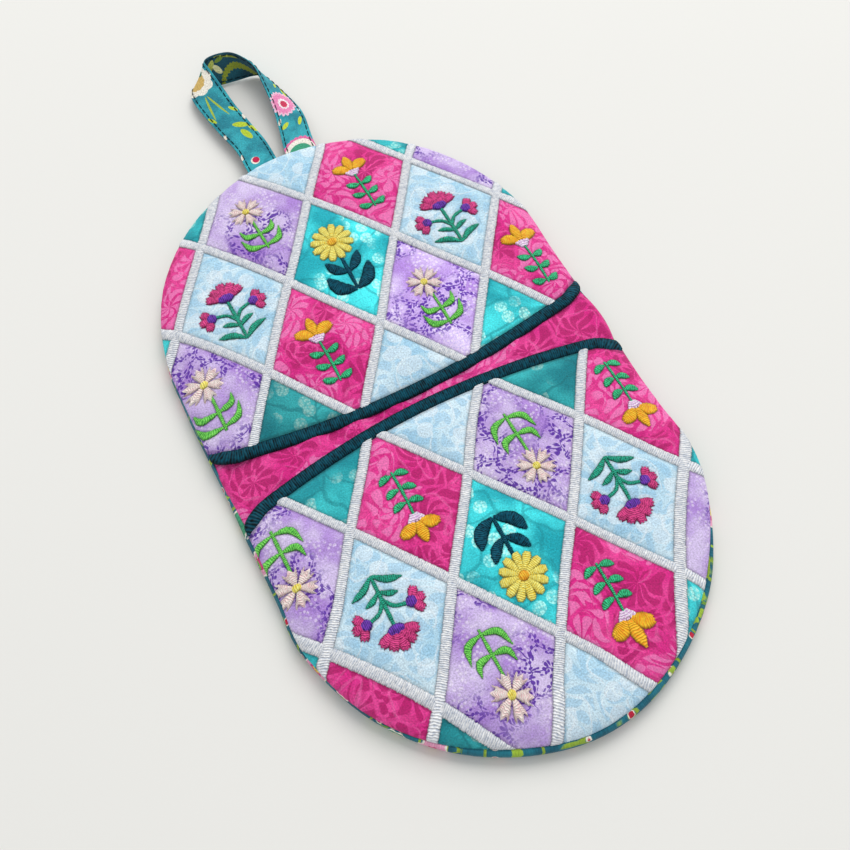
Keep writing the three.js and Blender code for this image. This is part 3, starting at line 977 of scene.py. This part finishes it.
def build_mouth(half):
    """The satin rope that wraps the pocket's lip, left and right."""
    for sign, side in SIDE_NAMES.items():
        rows = int(MOUTH_END_X / SASH_STEP)
        xs = sign * np.linspace(0, MOUTH_END_X, rows)
        ys = mouth_y(xs)
        slope = np.gradient(ys, xs)
        normal = np.column_stack([-slope, np.ones(rows)]) / np.hypot(slope, 1)[:, None]
        draw = np.random.default_rng(300 + (half == "lower") + 2 * (sign > 0))
        columns = 24
        angle = np.linspace(0, 2 * math.pi, columns, endpoint=False)
        fullness = 1 - 0.4 * smoothstep(np.abs(xs), MOUTH_END_X - 4, MOUTH_END_X)[:, None] ** 2
        wide = (SATIN_HALF - 0.15) * bulging(np.cos(angle), 0.8) * fullness
        high = bulging(np.sin(angle), 0.8) * fullness
        top = panel_base(xs, np.maximum(ys, 3.0), half) + 0.1
        lip = np.maximum(top - LIP_DEPTH, np.minimum(LINING_Z + 0.3, top - 1.0))
        middle, reach = (top + lip) / 2, (top - lip) / 2
        rough = 1 + draw.normal(0, 0.018, (rows, columns))
        x = xs[:, None] + normal[:, :1] * wide * rough
        y = ys[:, None] + normal[:, 1:] * wide * rough
        z = middle[:, None] + reach[:, None] * high * rough
        px, py = plump(x.ravel(), y.ravel(), half)
        points = np.column_stack([px, py, z.ravel()])
        faces = grid_faces(rows, columns, closed=True) + end_caps(rows, columns)
        if sign > 0:
            faces = flipped(faces)
        distance = np.repeat(np.linspace(0, MOUTH_END_X, rows), columns)
        # across runs round the rope, so the painted edge shade darkens its sides and not its top
        around = np.tile(np.cos(angle) * 0.86, rows)
        threads = np.column_stack([distance, around, np.full(len(distance), sign)])
        points, faces = mirror(points, faces, half)
        piece = make_piece(f"{half}_mouth_{side}", points, faces, [THREAD["mouth"]], {"thread": threads})
        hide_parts(f"{half}_mouth_satin")
        sewn_to(piece)


def pocket_layer(half, name, material, top_drop, bottom_drop, node, print_seed):
    """A closed layer of the pocket under its patchwork, left and right."""
    for sign, side in SIDE_NAMES.items():
        rows, columns = 34, 34
        a = np.linspace(0, math.pi / 2, rows)
        b = np.sin(np.linspace(0, math.pi / 2, columns))
        x = sign * (HALF_WIDTH - LAYER_INSET) * np.sin(a)
        lip = mouth_y(x) - 0.6
        rim = END_CENTRE + np.sqrt(np.maximum((HALF_WIDTH - LAYER_INSET) ** 2 - x**2, 0))
        xx = np.repeat(x, columns)
        yy = (lip[:, None] + (rim - lip)[:, None] * b).ravel()
        inset = np.maximum(rim_distance(xx, yy) - LAYER_INSET, 0)
        share = 1 - np.exp(-inset / 5)
        crest = panel_base(xx, yy, half) - 0.8
        top = crest - top_drop * share - 0.25
        bottom = crest - bottom_drop * share - 0.35
        top, bottom = np.maximum(top, LINING_Z + 0.35), np.maximum(bottom, LINING_Z + 0.2)
        points = np.column_stack([np.tile(xx, 2), np.tile(yy, 2), np.concatenate([top, bottom])])
        upper = grid_faces(rows, columns)
        faces = closed_over(upper, len(xx))
        if sign < 0:
            faces = flipped(faces)
        points, faces = mirror(points, faces, half)
        values = {"print": print_offset(points, print_seed), "crease": np.full_like(points, NO_STITCH)}
        piece = make_piece(f"{half}_{name}_{side}", points, faces, [material], values)
        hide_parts(node)
        sewn_to(piece)


# ---------- base: back cover, lining, wadding ----------


def outline_points(end_steps=72, side_steps=60):
    """The outline, anticlockwise from the right-hand end of the fold line."""
    side = np.linspace(0, END_CENTRE, side_steps, endpoint=False)
    down = np.linspace(END_CENTRE, -END_CENTRE, 2 * side_steps, endpoint=False)
    turn = np.linspace(0, math.pi, end_steps, endpoint=False)
    right = np.column_stack([np.full(side_steps, HALF_WIDTH), side])
    top = np.column_stack([HALF_WIDTH * np.cos(turn), END_CENTRE + HALF_WIDTH * np.sin(turn)])
    left = np.column_stack([np.full(2 * side_steps, -HALF_WIDTH), down])
    bottom = np.column_stack([-HALF_WIDTH * np.cos(turn), -END_CENTRE - HALF_WIDTH * np.sin(turn)])
    last = np.column_stack([np.full(side_steps, HALF_WIDTH), side - END_CENTRE])
    return np.vstack([right, top, left, bottom, last])


def seam_height(y):
    """The sewn rim's height."""
    return SEAM_Z - 0.5 * np.exp(-((np.asarray(y) / 16) ** 2))


def ring_sheet(profile):
    """Rings round the outline. Each is two functions of seam inset and cover roll: inset and height."""
    ring = outline_points()
    x, y = ring[:, 0], ring[:, 1]
    upper = y > 0
    inset = np.where(upper, seam_inset(x, y, "upper"), seam_inset(x, y, "lower"))
    roll = np.where(upper, 0.0, cover_roll(x, y, "lower"))
    roll = np.maximum(roll, side_belly(x, y))
    spread = np.where(upper, swell(x, y, "upper"), swell(x, y, "lower"))
    out_x, out_y = outward(x, y)
    rim = seam_height(y)
    bare = np.exp(-((y / 12) ** 4))
    rings = []
    for drop, height in profile:
        d = drop(inset, roll, bare) - spread
        z = height(rim, roll, bare)
        rings.append(np.column_stack([x - out_x * d, y - out_y * d, z + 0 * x]))
    count = len(ring)
    return np.vstack(rings), grid_faces(len(rings), count, closed=True), count


def fill_rings(points, faces, count, height, steps=34):
    """Carries the last ring inward to the middle line with more rings that shrink towards it."""
    last = points[-count:]
    rings = [points]
    core = np.clip(last[:, 1], -END_CENTRE, END_CENTRE)
    for k in range(1, steps + 1):
        share = k / steps
        x = last[:, 0] * (1 - share)
        y = core + (last[:, 1] - core) * (1 - share)
        rings.append(np.column_stack([x, y, height(x, y)]))
    start = len(points) - count
    return np.vstack(rings), faces + grid_faces(steps + 1, count, start=start, closed=True)


def lining_height(x, y):
    """The inner lining: flat under the pockets and a puffed roll with creases between their mouths."""
    inset = np.maximum(rim_distance(x, y), 0)
    roll = np.exp(-np.abs(np.asarray(y) / 12.5) ** 3)
    belly = 1.1 + 3.6 * (1 - np.exp(-np.maximum(inset - 1, 0) / 11))
    creases = 0.45 * ripple(x, y * 0.35, 51, 13) + 0.14 * ripple(x, y, 52, 6)
    settle = smoothstep(inset, 0.5, 5)
    return LINING_Z + 0.2 + roll * (belly + creases) * settle


def build_base():
    rolled = [
        (lambda i, r, b: i + 0.9, lambda z, r, b: z - 0.9),
        (lambda i, r, b: i + 0.25, lambda z, r, b: z - 0.15),
        (lambda i, r, b: i * 0.6 + 0.1, lambda z, r, b: z + 0.15 * r),
        (lambda i, r, b: 0.3 - 0.45 * r, lambda z, r, b: z * (0.84 + 0.04 * r)),
        (lambda i, r, b: 0.35 - 0.85 * r, lambda z, r, b: z * 0.62),
        (lambda i, r, b: 0.5 - 0.85 * r, lambda z, r, b: z * 0.36),
        (lambda i, r, b: 1.1 - 0.5 * r, lambda z, r, b: 0.42),
        (lambda i, r, b: 2.2 - 0.4 * r, lambda z, r, b: 0.1),
        (lambda i, r, b: 3.8, lambda z, r, b: 0.0),
    ]
    points, faces, count = ring_sheet(rolled)
    points, faces = fill_rings(points, faces, count, lambda x, y: 0 * x)
    faces = flipped(faces)
    values = {"print": cover_coordinates(points)}
    cover = make_piece("back_cover_cloth", points, faces, [FABRIC["cover"]], values)
    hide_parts("upper_back_cover", "lower_back_cover")
    bend_at_fold(cover)
    edge = [
        (lambda i, r, b: i + 1.5, lambda z, r, b: z - 1.6),
        (lambda i, r, b: i + 0.6 - 0.3 * b, lambda z, r, b: z - 0.8),
        (lambda i, r, b: i + 0.7 - 1.0 * b, lambda z, r, b: z - 0.3 + 0.3 * b),
        (lambda i, r, b: i + 1.0 - 0.8 * b, lambda z, r, b: z - 0.3 + 0.9 * b),
        (lambda i, r, b: i + 2.0, lambda z, r, b: LINING_Z + 0.2 + 2.0 * b),
    ]
    points, faces, count = ring_sheet(edge)
    points, faces = fill_rings(points, faces, count, lining_height)
    values = {"print": print_offset(points, LINING_PRINT), "crease": np.full_like(points, NO_STITCH)}
    lining = make_piece("inner_lining_cloth", points, faces, [FABRIC["pink"]], values)
    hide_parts("upper_inner_lining", "lower_inner_lining")
    bend_at_fold(lining)


def cover_coordinates(points):
    """The cover's print runs over its turned-up edge, so height adds to the distance outward."""
    centre_y = np.clip(points[:, 1], -END_CENTRE, END_CENTRE)
    away = np.column_stack([points[:, 0], points[:, 1] - centre_y])
    away /= np.maximum(np.linalg.norm(away, axis=1), 1e-6)[:, None]
    spread = away * points[:, 2:] * 1.2
    return np.column_stack([points[:, :2] + spread, points[:, 2] * 0]) + np.array([140.0, 90.0, 0])


def bend_at_fold(piece):
    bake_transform(piece)


def build_wadding(half):
    """The base wadding, hidden between the cover and the lining."""
    columns = 60
    xs = (HALF_WIDTH - PAD_INSET) * np.sin(np.linspace(-math.pi / 2, math.pi / 2, columns))
    far = END_CENTRE + np.sqrt(np.maximum((HALF_WIDTH - PAD_INSET) ** 2 - xs**2, 0))
    rows = 8
    ys = 7.0 + (far - 7.0)[:, None] * np.linspace(0, 1, rows)
    x = np.repeat(xs, rows)
    top = np.column_stack([x, ys.ravel(), np.full(len(x), LINING_Z - 0.6)])
    faces = flipped(grid_faces(columns, rows))
    faces = drop_flat_faces(top, faces)
    solid, closed, _ = shell(top, faces, 2.4)
    solid, closed = mirror(solid, closed, half)
    piece = make_piece(f"{half}_base_wadding_pad", solid, closed, [FABRIC["wadding"]])
    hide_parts(f"{half}_base_wadding")
    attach(piece, f"{half}_half")


# ---------- embroidery ----------


def smooth_path(points, count, even=True):
    """A rounded curve through a few points, spaced evenly or by the points' own numbering."""
    points = np.asarray(points, float)
    if len(points) == 2:
        return points[0] + np.linspace(0, 1, count)[:, None] * (points[1] - points[0])
    padded = np.vstack([2 * points[0] - points[1], points, 2 * points[-1] - points[-2]])
    fine = []
    for a, b, c, d in zip(padded, padded[1:], padded[2:], padded[3:]):
        for t in np.linspace(0, 1, 12, endpoint=False):
            fine.append(0.5 * (2 * b + (c - a) * t + (2 * a - 5 * b + 4 * c - d) * t**2
                               + (3 * b - a - 3 * c + d) * t**3))
    fine = np.vstack([fine, points[-1]])
    lengths = np.arange(len(fine), dtype=float)
    if even:
        lengths = np.concatenate([[0], np.cumsum(np.linalg.norm(np.diff(fine, axis=0), axis=1))])
    spots = np.linspace(0, lengths[-1], count)
    return np.column_stack([np.interp(spots, lengths, fine[:, k]) for k in range(points.shape[1])])


def stroke(colour, path, widths, height=0.4, notch=0.0):
    """One satin-stitched shape: a spine of points and its half width at even steps along it.

    notch pulls the far end into three points this many mm long.
    """
    return {"colour": colour, "path": path, "widths": widths, "height": height, "notch": notch}


def leaf(colour, start, tip, width, bend=0.0, height=0.38):
    """A leaf or petal between two points, bowed sideways by bend."""
    start, tip = np.array(start, float), np.array(tip, float)
    across = np.array([start[1] - tip[1], tip[0] - start[0]])
    middle = (start + tip) / 2 + across * bend
    return stroke(colour, [start, middle, tip], [w * width for w in (0.22, 0.75, 1.0, 0.85, 0.18)], height)


def stroke_pair(colour, path, widths, height=0.4, notch=0.0):
    """The same stroke on the left and right of a motif's stem."""
    return [stroke(colour, [(side * x, y) for x, y in path], widths, height, notch) for side in (-1, 1)]


def leaf_pair(colour, start, tip, width, bend):
    """The same leaf on the left and right of a motif's stem."""
    return [leaf(colour, (side * start[0], start[1]), (side * tip[0], tip[1]), width, side * bend)
            for side in (-1, 1)]


def orange_flower():
    parts = [stroke("green", [(0, 3), (0.3, -5), (0.2, -13.6)], [0.4, 0.45, 0.5, 0.4])]
    for y in (-1.6, -6.5, -11.8):
        parts += leaf_pair("green", (0.4, y - 0.7), (4.9, y + 0.8), 1.3, -0.12)
    path = [(0.9, 4.4), (3.3, 6.3), (6.3, 7.1)]
    parts += stroke_pair("orange", path, [0.6, 1.7, 2.2, 1.9, 0.8], 0.42, 0.25)
    parts.append(stroke("orange", [(0, 4.9), (0, 8.2), (0.1, 11.8)], [0.7, 1.5, 1.95, 1.5, 0.35], 0.5))
    for k in range(-2, 3):
        path = [(k * 0.35, 1.9), (k * 0.75, 3.3), (k * 1.35, 4.9)]
        parts.append(stroke("lavender", path, [0.35, 0.6, 0.75, 0.4], 0.6))
    return parts


def pale_flower():
    parts = [stroke("lime", [(0, 2), (0.1, -5), (0.2, -11.6)], [0.4, 0.5, 0.55, 0.4])]
    for path in ([(0.2, -4.9), (4.4, -4.1), (5.7, -0.9)], [(0.2, -10.3), (4.9, -9.0), (6.8, -4.6)]):
        parts += stroke_pair("lime", path, [0.35, 0.95, 1.2, 0.7, 0.1])
    centre = np.array([-0.3, 6.2])
    for k in range(6):
        angle = math.radians(90 + 60 * k)
        away = np.array([math.cos(angle), math.sin(angle)])
        parts.append(stroke("blush", [centre + away * 0.9, centre + away * 3.2, centre + away * 5.4],
                            [0.5, 0.95, 1.45, 1.85, 2.0], 0.4, notch=0.85))
    parts.append(stroke("yellow", [centre + (-1.3, 0), centre + (1.3, 0)], [0.6, 1.2, 1.4, 1.2, 0.6], 0.7))
    return parts


def magenta_flowers():
    parts = [stroke("stem", [(-0.2, 2.5), (0, -6), (0, -13.8)], [0.5, 0.65, 0.65, 0.45])]
    parts += stroke_pair("stem", [(0, -6.5), (2.3, -3.2), (6.4, -1.9)], [0.4, 0.6, 0.6, 0.5])
    parts += leaf_pair("stem", (0.2, -8.6), (5.4, -6.2), 0.95, 0.08)
    parts += leaf_pair("stem", (0, -13.8), (8.4, -9.6), 1.15, 0.09)
    base = np.array([-0.2, 3.2])
    for k, reach in enumerate((6.2, 6.0, 6.4, 6.0, 6.2)):
        angle = math.radians(158 - 34 * k)
        tip = base + reach * np.array([math.cos(angle) * 1.08, math.sin(angle)])
        middle = base + (tip - base) * 0.55
        height = 0.42 + 0.1 * (k % 2)
        parts.append(stroke("magenta", [base, middle, tip], [0.5, 1.1, 1.6, 1.7, 1.2], height, 0.3))
    parts.append(stroke("purple", [(-3.0, 3.3), (-0.2, 3.2), (2.6, 3.3)], [0.6, 1.5, 1.8, 1.5, 0.6], 0.65))
    for side in (-1, 1):
        heart = np.array([side * 7.6, -1.8])
        for k in (-1, 0, 1):
            angle = math.radians(56 * k)
            tip = heart + np.array([side * math.cos(angle) * 4.0, math.sin(angle) * 4.3])
            path = [heart, (heart + tip) / 2, tip]
            parts.append(stroke("magenta", path, [0.5, 1.1, 1.5, 1.5, 0.9], 0.42, 0.3))
        parts.append(stroke("purple", [heart - (1.9 * side, 0), heart + (1.7 * side, 0)],
                            [0.6, 1.6, 1.95, 1.7, 0.8], 0.62))
    return parts


def daisy():
    parts = [stroke("navy", [(0, 0), (0, -6), (0, -13.2)], [0.5, 0.65, 0.65, 0.5])]
    parts += leaf_pair("navy", (0.3, -6.3), (5.9, -0.2), 1.8, -0.10)
    parts += leaf_pair("navy", (0.2, -13.4), (7.6, -5.6), 2.3, -0.16)
    centre = np.array([-0.4, 6.6])
    for k in range(12):
        angle = math.radians(30 * k + 8)
        away = np.array([math.cos(angle), math.sin(angle)])
        parts.append(stroke("yellow", [centre + away * 1.4, centre + away * 4.4, centre + away * 7.4],
                            [0.45, 0.95, 1.3, 1.5, 0.9], 0.45 + 0.05 * (k % 2)))
    parts.append(stroke("amber", [centre + (-1.7, 0), centre + (1.7, 0)], [0.6, 1.5, 1.75, 1.5, 0.6], 0.75))
    return parts


def stroke_spine(part, spacing=0.22):
    """Even points along a stroke, its half width there and its length."""
    path = np.asarray(part["path"], float)
    length = np.linalg.norm(np.diff(path, axis=0), axis=1).sum()
    rows = max(int(length / spacing), 8)
    stops = np.linspace(0, 1, len(part["widths"]))
    return smooth_path(path, rows), np.interp(np.linspace(0, 1, rows), stops, part["widths"]), length


MOTIFS = {"orange": orange_flower, "pale": pale_flower, "magenta": magenta_flowers, "daisy": daisy}
PLANTED = {
    (0, -1): "orange", (0, 1): "orange", (2, -1): "orange",
    (-1, 0): "pale", (1, 0): "pale", (-1, 2): "pale",
    (-1, 1): "magenta", (1, -1): "magenta",
    (0, 0): "daisy",
}
MOTIF_SHIFT = {"upper": (-0.6, 0.0), "lower": (-0.8, 1.4)}
MOTIF_NUDGE = {
    # the machine's small misplacements, in mm
    "upper": {(2, -1): (-2.2, 1.2), (-1, 2): (1.2, 0.2), (1, 0): (0.7, -0.5), (0, -1): (-0.3, 0.4)},
    "lower": {(2, -1): (-1.5, -0.4), (0, 1): (-0.5, 1.2), (0, 0): (-0.1, 0.9), (1, 0): (0.4, 0.6)},
}
FAR_ROW_SHIFT = -1.2  # motifs of the upper half's second row sit a little lower in their patches
LONG_STEM = 1.17  # the lower half's pale flowers are sewn on longer stems


def motif_centre(m, n, half):
    cx, cy = cell_centre(m, n)
    shift = MOTIF_SHIFT[half]
    nudge = MOTIF_NUDGE[half].get((m, n), (0.0, 0.0))
    far = FAR_ROW_SHIFT if half == "upper" and m + n == -1 else 0.0
    return cx + shift[0] + nudge[0], cy + shift[1] + nudge[1] + far


def motif_parts(m, n, half):
    kind = PLANTED[(m, n)]
    parts = MOTIFS[kind]()
    if kind == "pale" and half == "lower":
        for part in parts:
            part["path"] = [(x, y * LONG_STEM if y < 0 else y) for x, y in part["path"]]
    return parts


def needle_distance(x, y, m, n, half):
    """Distance from each point to the edge of its patch's embroidery, or NO_STITCH without any."""
    nearest = np.full(len(x), NO_STITCH)
    if (m, n) in PLANTED:
        cx, cy = motif_centre(m, n, half)
        for part in motif_parts(m, n, half):
            spine, widths, length = stroke_spine(part, 0.5)
            to_end = np.linspace(0, length, len(spine))
            reach = np.minimum(widths, np.minimum(to_end, length - to_end) + 0.2)
            for (sx, sy), width in zip(spine, reach):
                nearest = np.minimum(nearest, np.hypot(x - cx - sx, y - cy - sy) - width)
    return nearest


def stroke_mesh(part, centre, half, seed):
    """A closed satin pillow that lies on the patchwork."""
    spine, widths, length = stroke_spine(part)
    rows = len(spine)
    draw = np.random.default_rng(seed)
    widths = np.maximum(widths + draw.normal(0, 0.07, rows), 0.12)
    along = np.gradient(spine, axis=0)
    along /= np.linalg.norm(along, axis=1)[:, None]
    across = np.column_stack([-along[:, 1], along[:, 0]])
    columns = 11
    spread = np.linspace(-1, 1, columns)
    share = np.linspace(0, 1, rows)
    points3 = np.cos(2 * math.pi * spread) * part["notch"]
    stretch = share[:, None] ** 3 * points3[None, :]
    xy = (spine[:, None, :] + across[:, None, :] * (spread[None, :, None] * widths[:, None, None])
          + along[:, None, :] * stretch[:, :, None])
    x = (xy[..., 0] + centre[0]).ravel()
    y = (xy[..., 1] + centre[1]).ravel()
    rounded = np.maximum(1 - np.abs(spread) ** 3, 0) ** 0.6
    ends = np.sqrt(np.clip(np.minimum(share, 1 - share) * rows / 3, 0, 1))
    fat = part["height"] * np.clip(widths / 0.9, 0.6, 1.1)
    lift = (ends[:, None] * fat[:, None] * rounded).ravel() + draw.normal(0, 0.015, len(x))
    ground = panel_height(x, y, half) - 0.12
    px, py = plump(x, y, half)
    top = np.column_stack([px, py, ground + lift])
    distance = np.repeat(np.linspace(0, length, rows), columns)
    threads = np.column_stack([distance, np.tile(spread, rows), np.full(len(x), seed * 0.37)])
    solid, closed, used = shell(top, flipped(grid_faces(rows, columns)), 0.3)
    solid[len(used):, 2] = (ground - 0.3)[used]
    return solid, closed, np.vstack([threads[used]] * 2)


def build_motif(m, n, half, seed):
    kind = PLANTED[(m, n)]
    centre = motif_centre(m, n, half)
    parts, colours, slots = [], [], []
    for k, part in enumerate(motif_parts(m, n, half)):
        solid, closed, threads = stroke_mesh(part, centre, half, seed * 50 + k)
        solid, closed = mirror(solid, closed, half)
        if part["colour"] not in colours:
            colours.append(part["colour"])
        slots += [colours.index(part["colour"])] * len(closed)
        parts.append((solid, closed, threads))
    points, faces, threads = joined(parts)
    name = f"{half}_{kind}_motif_{m + 1}{n + 1}"
    piece = make_piece(name, points, faces, [THREAD[c] for c in colours], {"thread": threads}, slots)
    sewn_to(piece)


# ---------- hanging loop ----------

LOOP_THICK = 0.5
LOOP_SEAM = 0.81  # where the topstitching runs, as a share of the strip's half width
LOOP_HALF_WIDTH = 5.8
LOOP_EDGES = [
    # the strip's outer edge, then its inner edge, from the left root round to the right one
    ((-12.6, 104, 4.4), (-0.9, 104, 4.4)),
    ((-12.6, 111, 4.6), (-0.9, 111, 4.6)),
    ((-12.6, 121, 4.4), (-1.1, 120, 4.8)),
    ((-14.7, 131, 4.2), (-2.8, 130, 5.2)),
    ((-16.4, 141, 4.0), (-4.5, 140, 5.8)),
    ((-17.3, 150, 3.6), (-5.4, 149, 6.8)),
    ((-16.2, 155.5, 2.4), (-6.4, 157.0, 8.0)),
    ((-12, 157.3, 1.2), (-6.8, 161.9, 8.4)),
    ((-5, 155.3, 0.9), (-2.5, 163.0, 8.4)),
    ((2.5, 154.2, 0.8), (3.2, 160.9, 8.8)),
    ((8.3, 153.5, 0.8), (6.5, 154.9, 9.8)),
    ((11.3, 151.3, 1.0), (8.2, 148.5, 10.2)),
    ((14.2, 143.5, 1.0), (7.8, 140, 8.9)),
    ((16.5, 133, 1.6), (7.0, 131.0, 7.2)),
    ((16.6, 124.5, 3.2), (5.1, 121.5, 5.0)),
    ((14.4, 112, 4.5), (2.8, 111.5, 4.6)),
    ((14.1, 104, 4.4), (2.7, 104, 4.4)),
]


def loop_frames(count):
    """Centre, half-width vector and outward direction along the loop, and the distance run."""
    outer = smooth_path([pair[0] for pair in LOOP_EDGES], count, even=False)
    inner = smooth_path([pair[1] for pair in LOOP_EDGES], count, even=False)
    centre, across = (outer + inner) / 2, (inner - outer) / 2
    along = np.gradient(centre, axis=0)
    out = np.cross(across, along)
    out /= np.linalg.norm(out, axis=1)[:, None]
    out *= np.sign(out[0, 2])
    distance = np.concatenate([[0], np.cumsum(np.linalg.norm(np.diff(centre, axis=0), axis=1))])
    return centre, across, out, distance


def build_loop():
    count = 320
    centre, across, out, distance = loop_frames(count)
    columns = 32
    angle = np.linspace(0, 2 * math.pi, columns, endpoint=False)
    wide = bulging(np.cos(angle), 0.5)
    thick = LOOP_THICK * bulging(np.sin(angle), 0.6)
    seamed = np.exp(-((np.abs(wide) - LOOP_SEAM) / 0.06) ** 2) * 0.16
    thick = thick - np.sign(thick) * seamed
    points = (centre[:, None, :] + across[:, None, :] * wide[None, :, None]
              + out[:, None, :] * thick[None, :, None]).reshape(-1, 3)
    faces = grid_faces(count, columns, closed=True) + end_caps(count, columns)
    across_print, face_print = np.tile(wide * LOOP_HALF_WIDTH, count), np.tile(np.sign(thick), count)
    prints = np.column_stack([np.repeat(distance, columns), across_print, face_print])
    piece = make_piece("hanging_loop_strip", points, faces, [FABRIC["loop"]], {"print": prints})
    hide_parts("hanging_loop")
    hang(piece)
    build_topstitching(centre, across, out, distance)


def build_topstitching(centre, across, outward_way, distance):
    """Short dark stitches along both edges of the loop, on both faces."""
    parts = []
    pitch, stitch, radius, bends, sides = 2.7, 2.0, 0.18, 6, 6
    ring = np.linspace(0, 2 * math.pi, sides, endpoint=False)
    faces = grid_faces(bends, sides, closed=True) + end_caps(bends, sides)
    no_seed = np.zeros(sides * bends)
    for edge in (-LOOP_SEAM, LOOP_SEAM):
        for face in (-1, 1):
            for begin in np.arange(6.0, distance[-1] - 6.0, pitch):
                at = begin + np.linspace(0, stitch, bends)
                spot, side, out = (
                    np.column_stack([np.interp(at, distance, v[:, k]) for k in range(3)])
                    for v in (centre, across, outward_way))
                lift = (LOOP_THICK - 0.14 + 0.16 * np.sin(np.linspace(0, math.pi, bends)))[:, None]
                line = spot + side * edge + out * face * lift
                sideways = side[:, None, :] / LOOP_HALF_WIDTH * (radius * np.cos(ring))[None, :, None]
                outward_part = out[:, None, :] * (radius * np.sin(ring))[None, :, None]
                tube = (line[:, None, :] + sideways + outward_part).reshape(-1, 3)
                values = np.column_stack([np.repeat(at, sides), np.tile(ring, bends), no_seed])
                parts.append((tube, faces, values))
    points, faces, threads = joined(parts)
    piece = make_piece("loop_topstitching", points, faces, [THREAD["stitch"]], {"thread": threads})
    hang(piece)


def hang(piece):
    """Bakes the loop piece's placement into its mesh."""
    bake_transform(piece)


# ---------- stage, light and camera ----------


def build_stage():
    """A pale floor that the object lies on, and that sinks with whatever part swings below it."""
    floor_shader = Shader("pale_floor", roughness=0.7, specular=0.2)
    coordinates = floor_shader.tree.nodes.new("ShaderNodeTexCoord").outputs["Object"]
    tone = floor_shader.noise(coordinates, 3.0, 2)
    material = floor_shader.finish(floor_shader.mix(tone, "#e1e0dc", "#e6e5e1"))
    size = 3.0
    mesh = bpy.data.meshes.new("floor")
    corners = [(-size, -size, 0), (size, -size, 0), (size, size, 0), (-size, size, 0)]
    mesh.from_pydata(corners, [], [(0, 1, 2, 3)])
    mesh.materials.append(material)
    floor = add_object("floor", mesh)
    for body, spots in FLOOR_MARKS.items():
        for spot in spots:
            mark = add_object(f"{body}_floor_mark", None)
            mark.location = Vector(spot) * MM + Vector((0, FOLD_Y, 0))
            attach(mark, body)
            below = floor.constraints.new("FLOOR")
            below.target = mark
            below.floor_location = "FLOOR_NEGATIVE_Z"


def area_light(name, place, target, size, power, colour=(1, 1, 1)):
    data = bpy.data.lights.new(name, "AREA")
    data.size = size
    data.energy = power
    data.color = colour
    lamp = add_object(name, data)
    lamp.location = place
    lamp.rotation_euler = (Vector(target) - Vector(place)).to_track_quat("-Z", "Y").to_euler()


def build_light():
    world = bpy.data.worlds.new("soft_white_room")
    world.use_nodes = True
    sky = world.node_tree.nodes["Background"]
    sky.inputs["Color"].default_value = (0.97, 0.985, 1.0, 1)
    sky.inputs["Strength"].default_value = 0.66
    bpy.context.scene.world = world
    area_light("window", (0.95, 1.25, 1.75), (0, 0, 0), 1.7, 40.0, (1.0, 0.99, 0.97))
    bpy.context.scene.view_settings.view_transform = "Standard"


CAMERA_AZIMUTH = math.radians(-26.46)
CAMERA_ELEVATION = math.radians(66.63)
CAMERA_ROLL = math.radians(-1.66)
CAMERA_DISTANCE = 315.0
CAMERA_AIM = (-4.0, -9.6, 10.1)
CAMERA_LENS = 42.5


def build_camera():
    data = bpy.data.cameras.new("camera")
    data.lens = CAMERA_LENS
    data.sensor_width = 36.0
    data.clip_start, data.clip_end = 0.01, 20.0
    camera = add_object("camera", data)
    flat = math.cos(CAMERA_ELEVATION)
    sin, cos = math.sin(CAMERA_AZIMUTH), math.cos(CAMERA_AZIMUTH)
    back = Vector((sin * flat, -cos * flat, math.sin(CAMERA_ELEVATION)))
    right = Vector((cos, sin, 0))
    right.rotate(Matrix.Rotation(CAMERA_ROLL, 3, back))
    up = back.cross(right)
    aim = Vector(CAMERA_AIM) * MM + Vector((0, FOLD_Y, 0))
    turn = Matrix((right, up, back)).transposed().to_4x4()
    camera.matrix_world = Matrix.Translation(aim + back * CAMERA_DISTANCE * MM) @ turn
    bpy.context.scene.camera = camera


# ---------- the whole scene ----------

build_camera()
build_light()
build_stage()
build_base()
for half in HALVES:
    shift = 0 if half == "upper" else 500
    build_wadding(half)
    wadding, lining = f"{half}_pocket_wadding", f"{half}_pocket_lining"
    pocket_layer(half, "pocket_padding", FABRIC["wadding"], 0.1, 1.9, wadding, 0)
    pocket_layer(half, "pocket_lining", FABRIC["pink"], 2.0, 2.4, lining, 70 + shift)
    for index, (name, m, n) in enumerate(patch_names() + list(EDGE_PATCHES)):
        build_patch(name, m, n, half, 200 + index + shift)
    build_lattice(half)
    build_mouth(half)
    for index, (m, n) in enumerate(PLANTED):
        build_motif(m, n, half, 10 + index + shift)
build_loop()
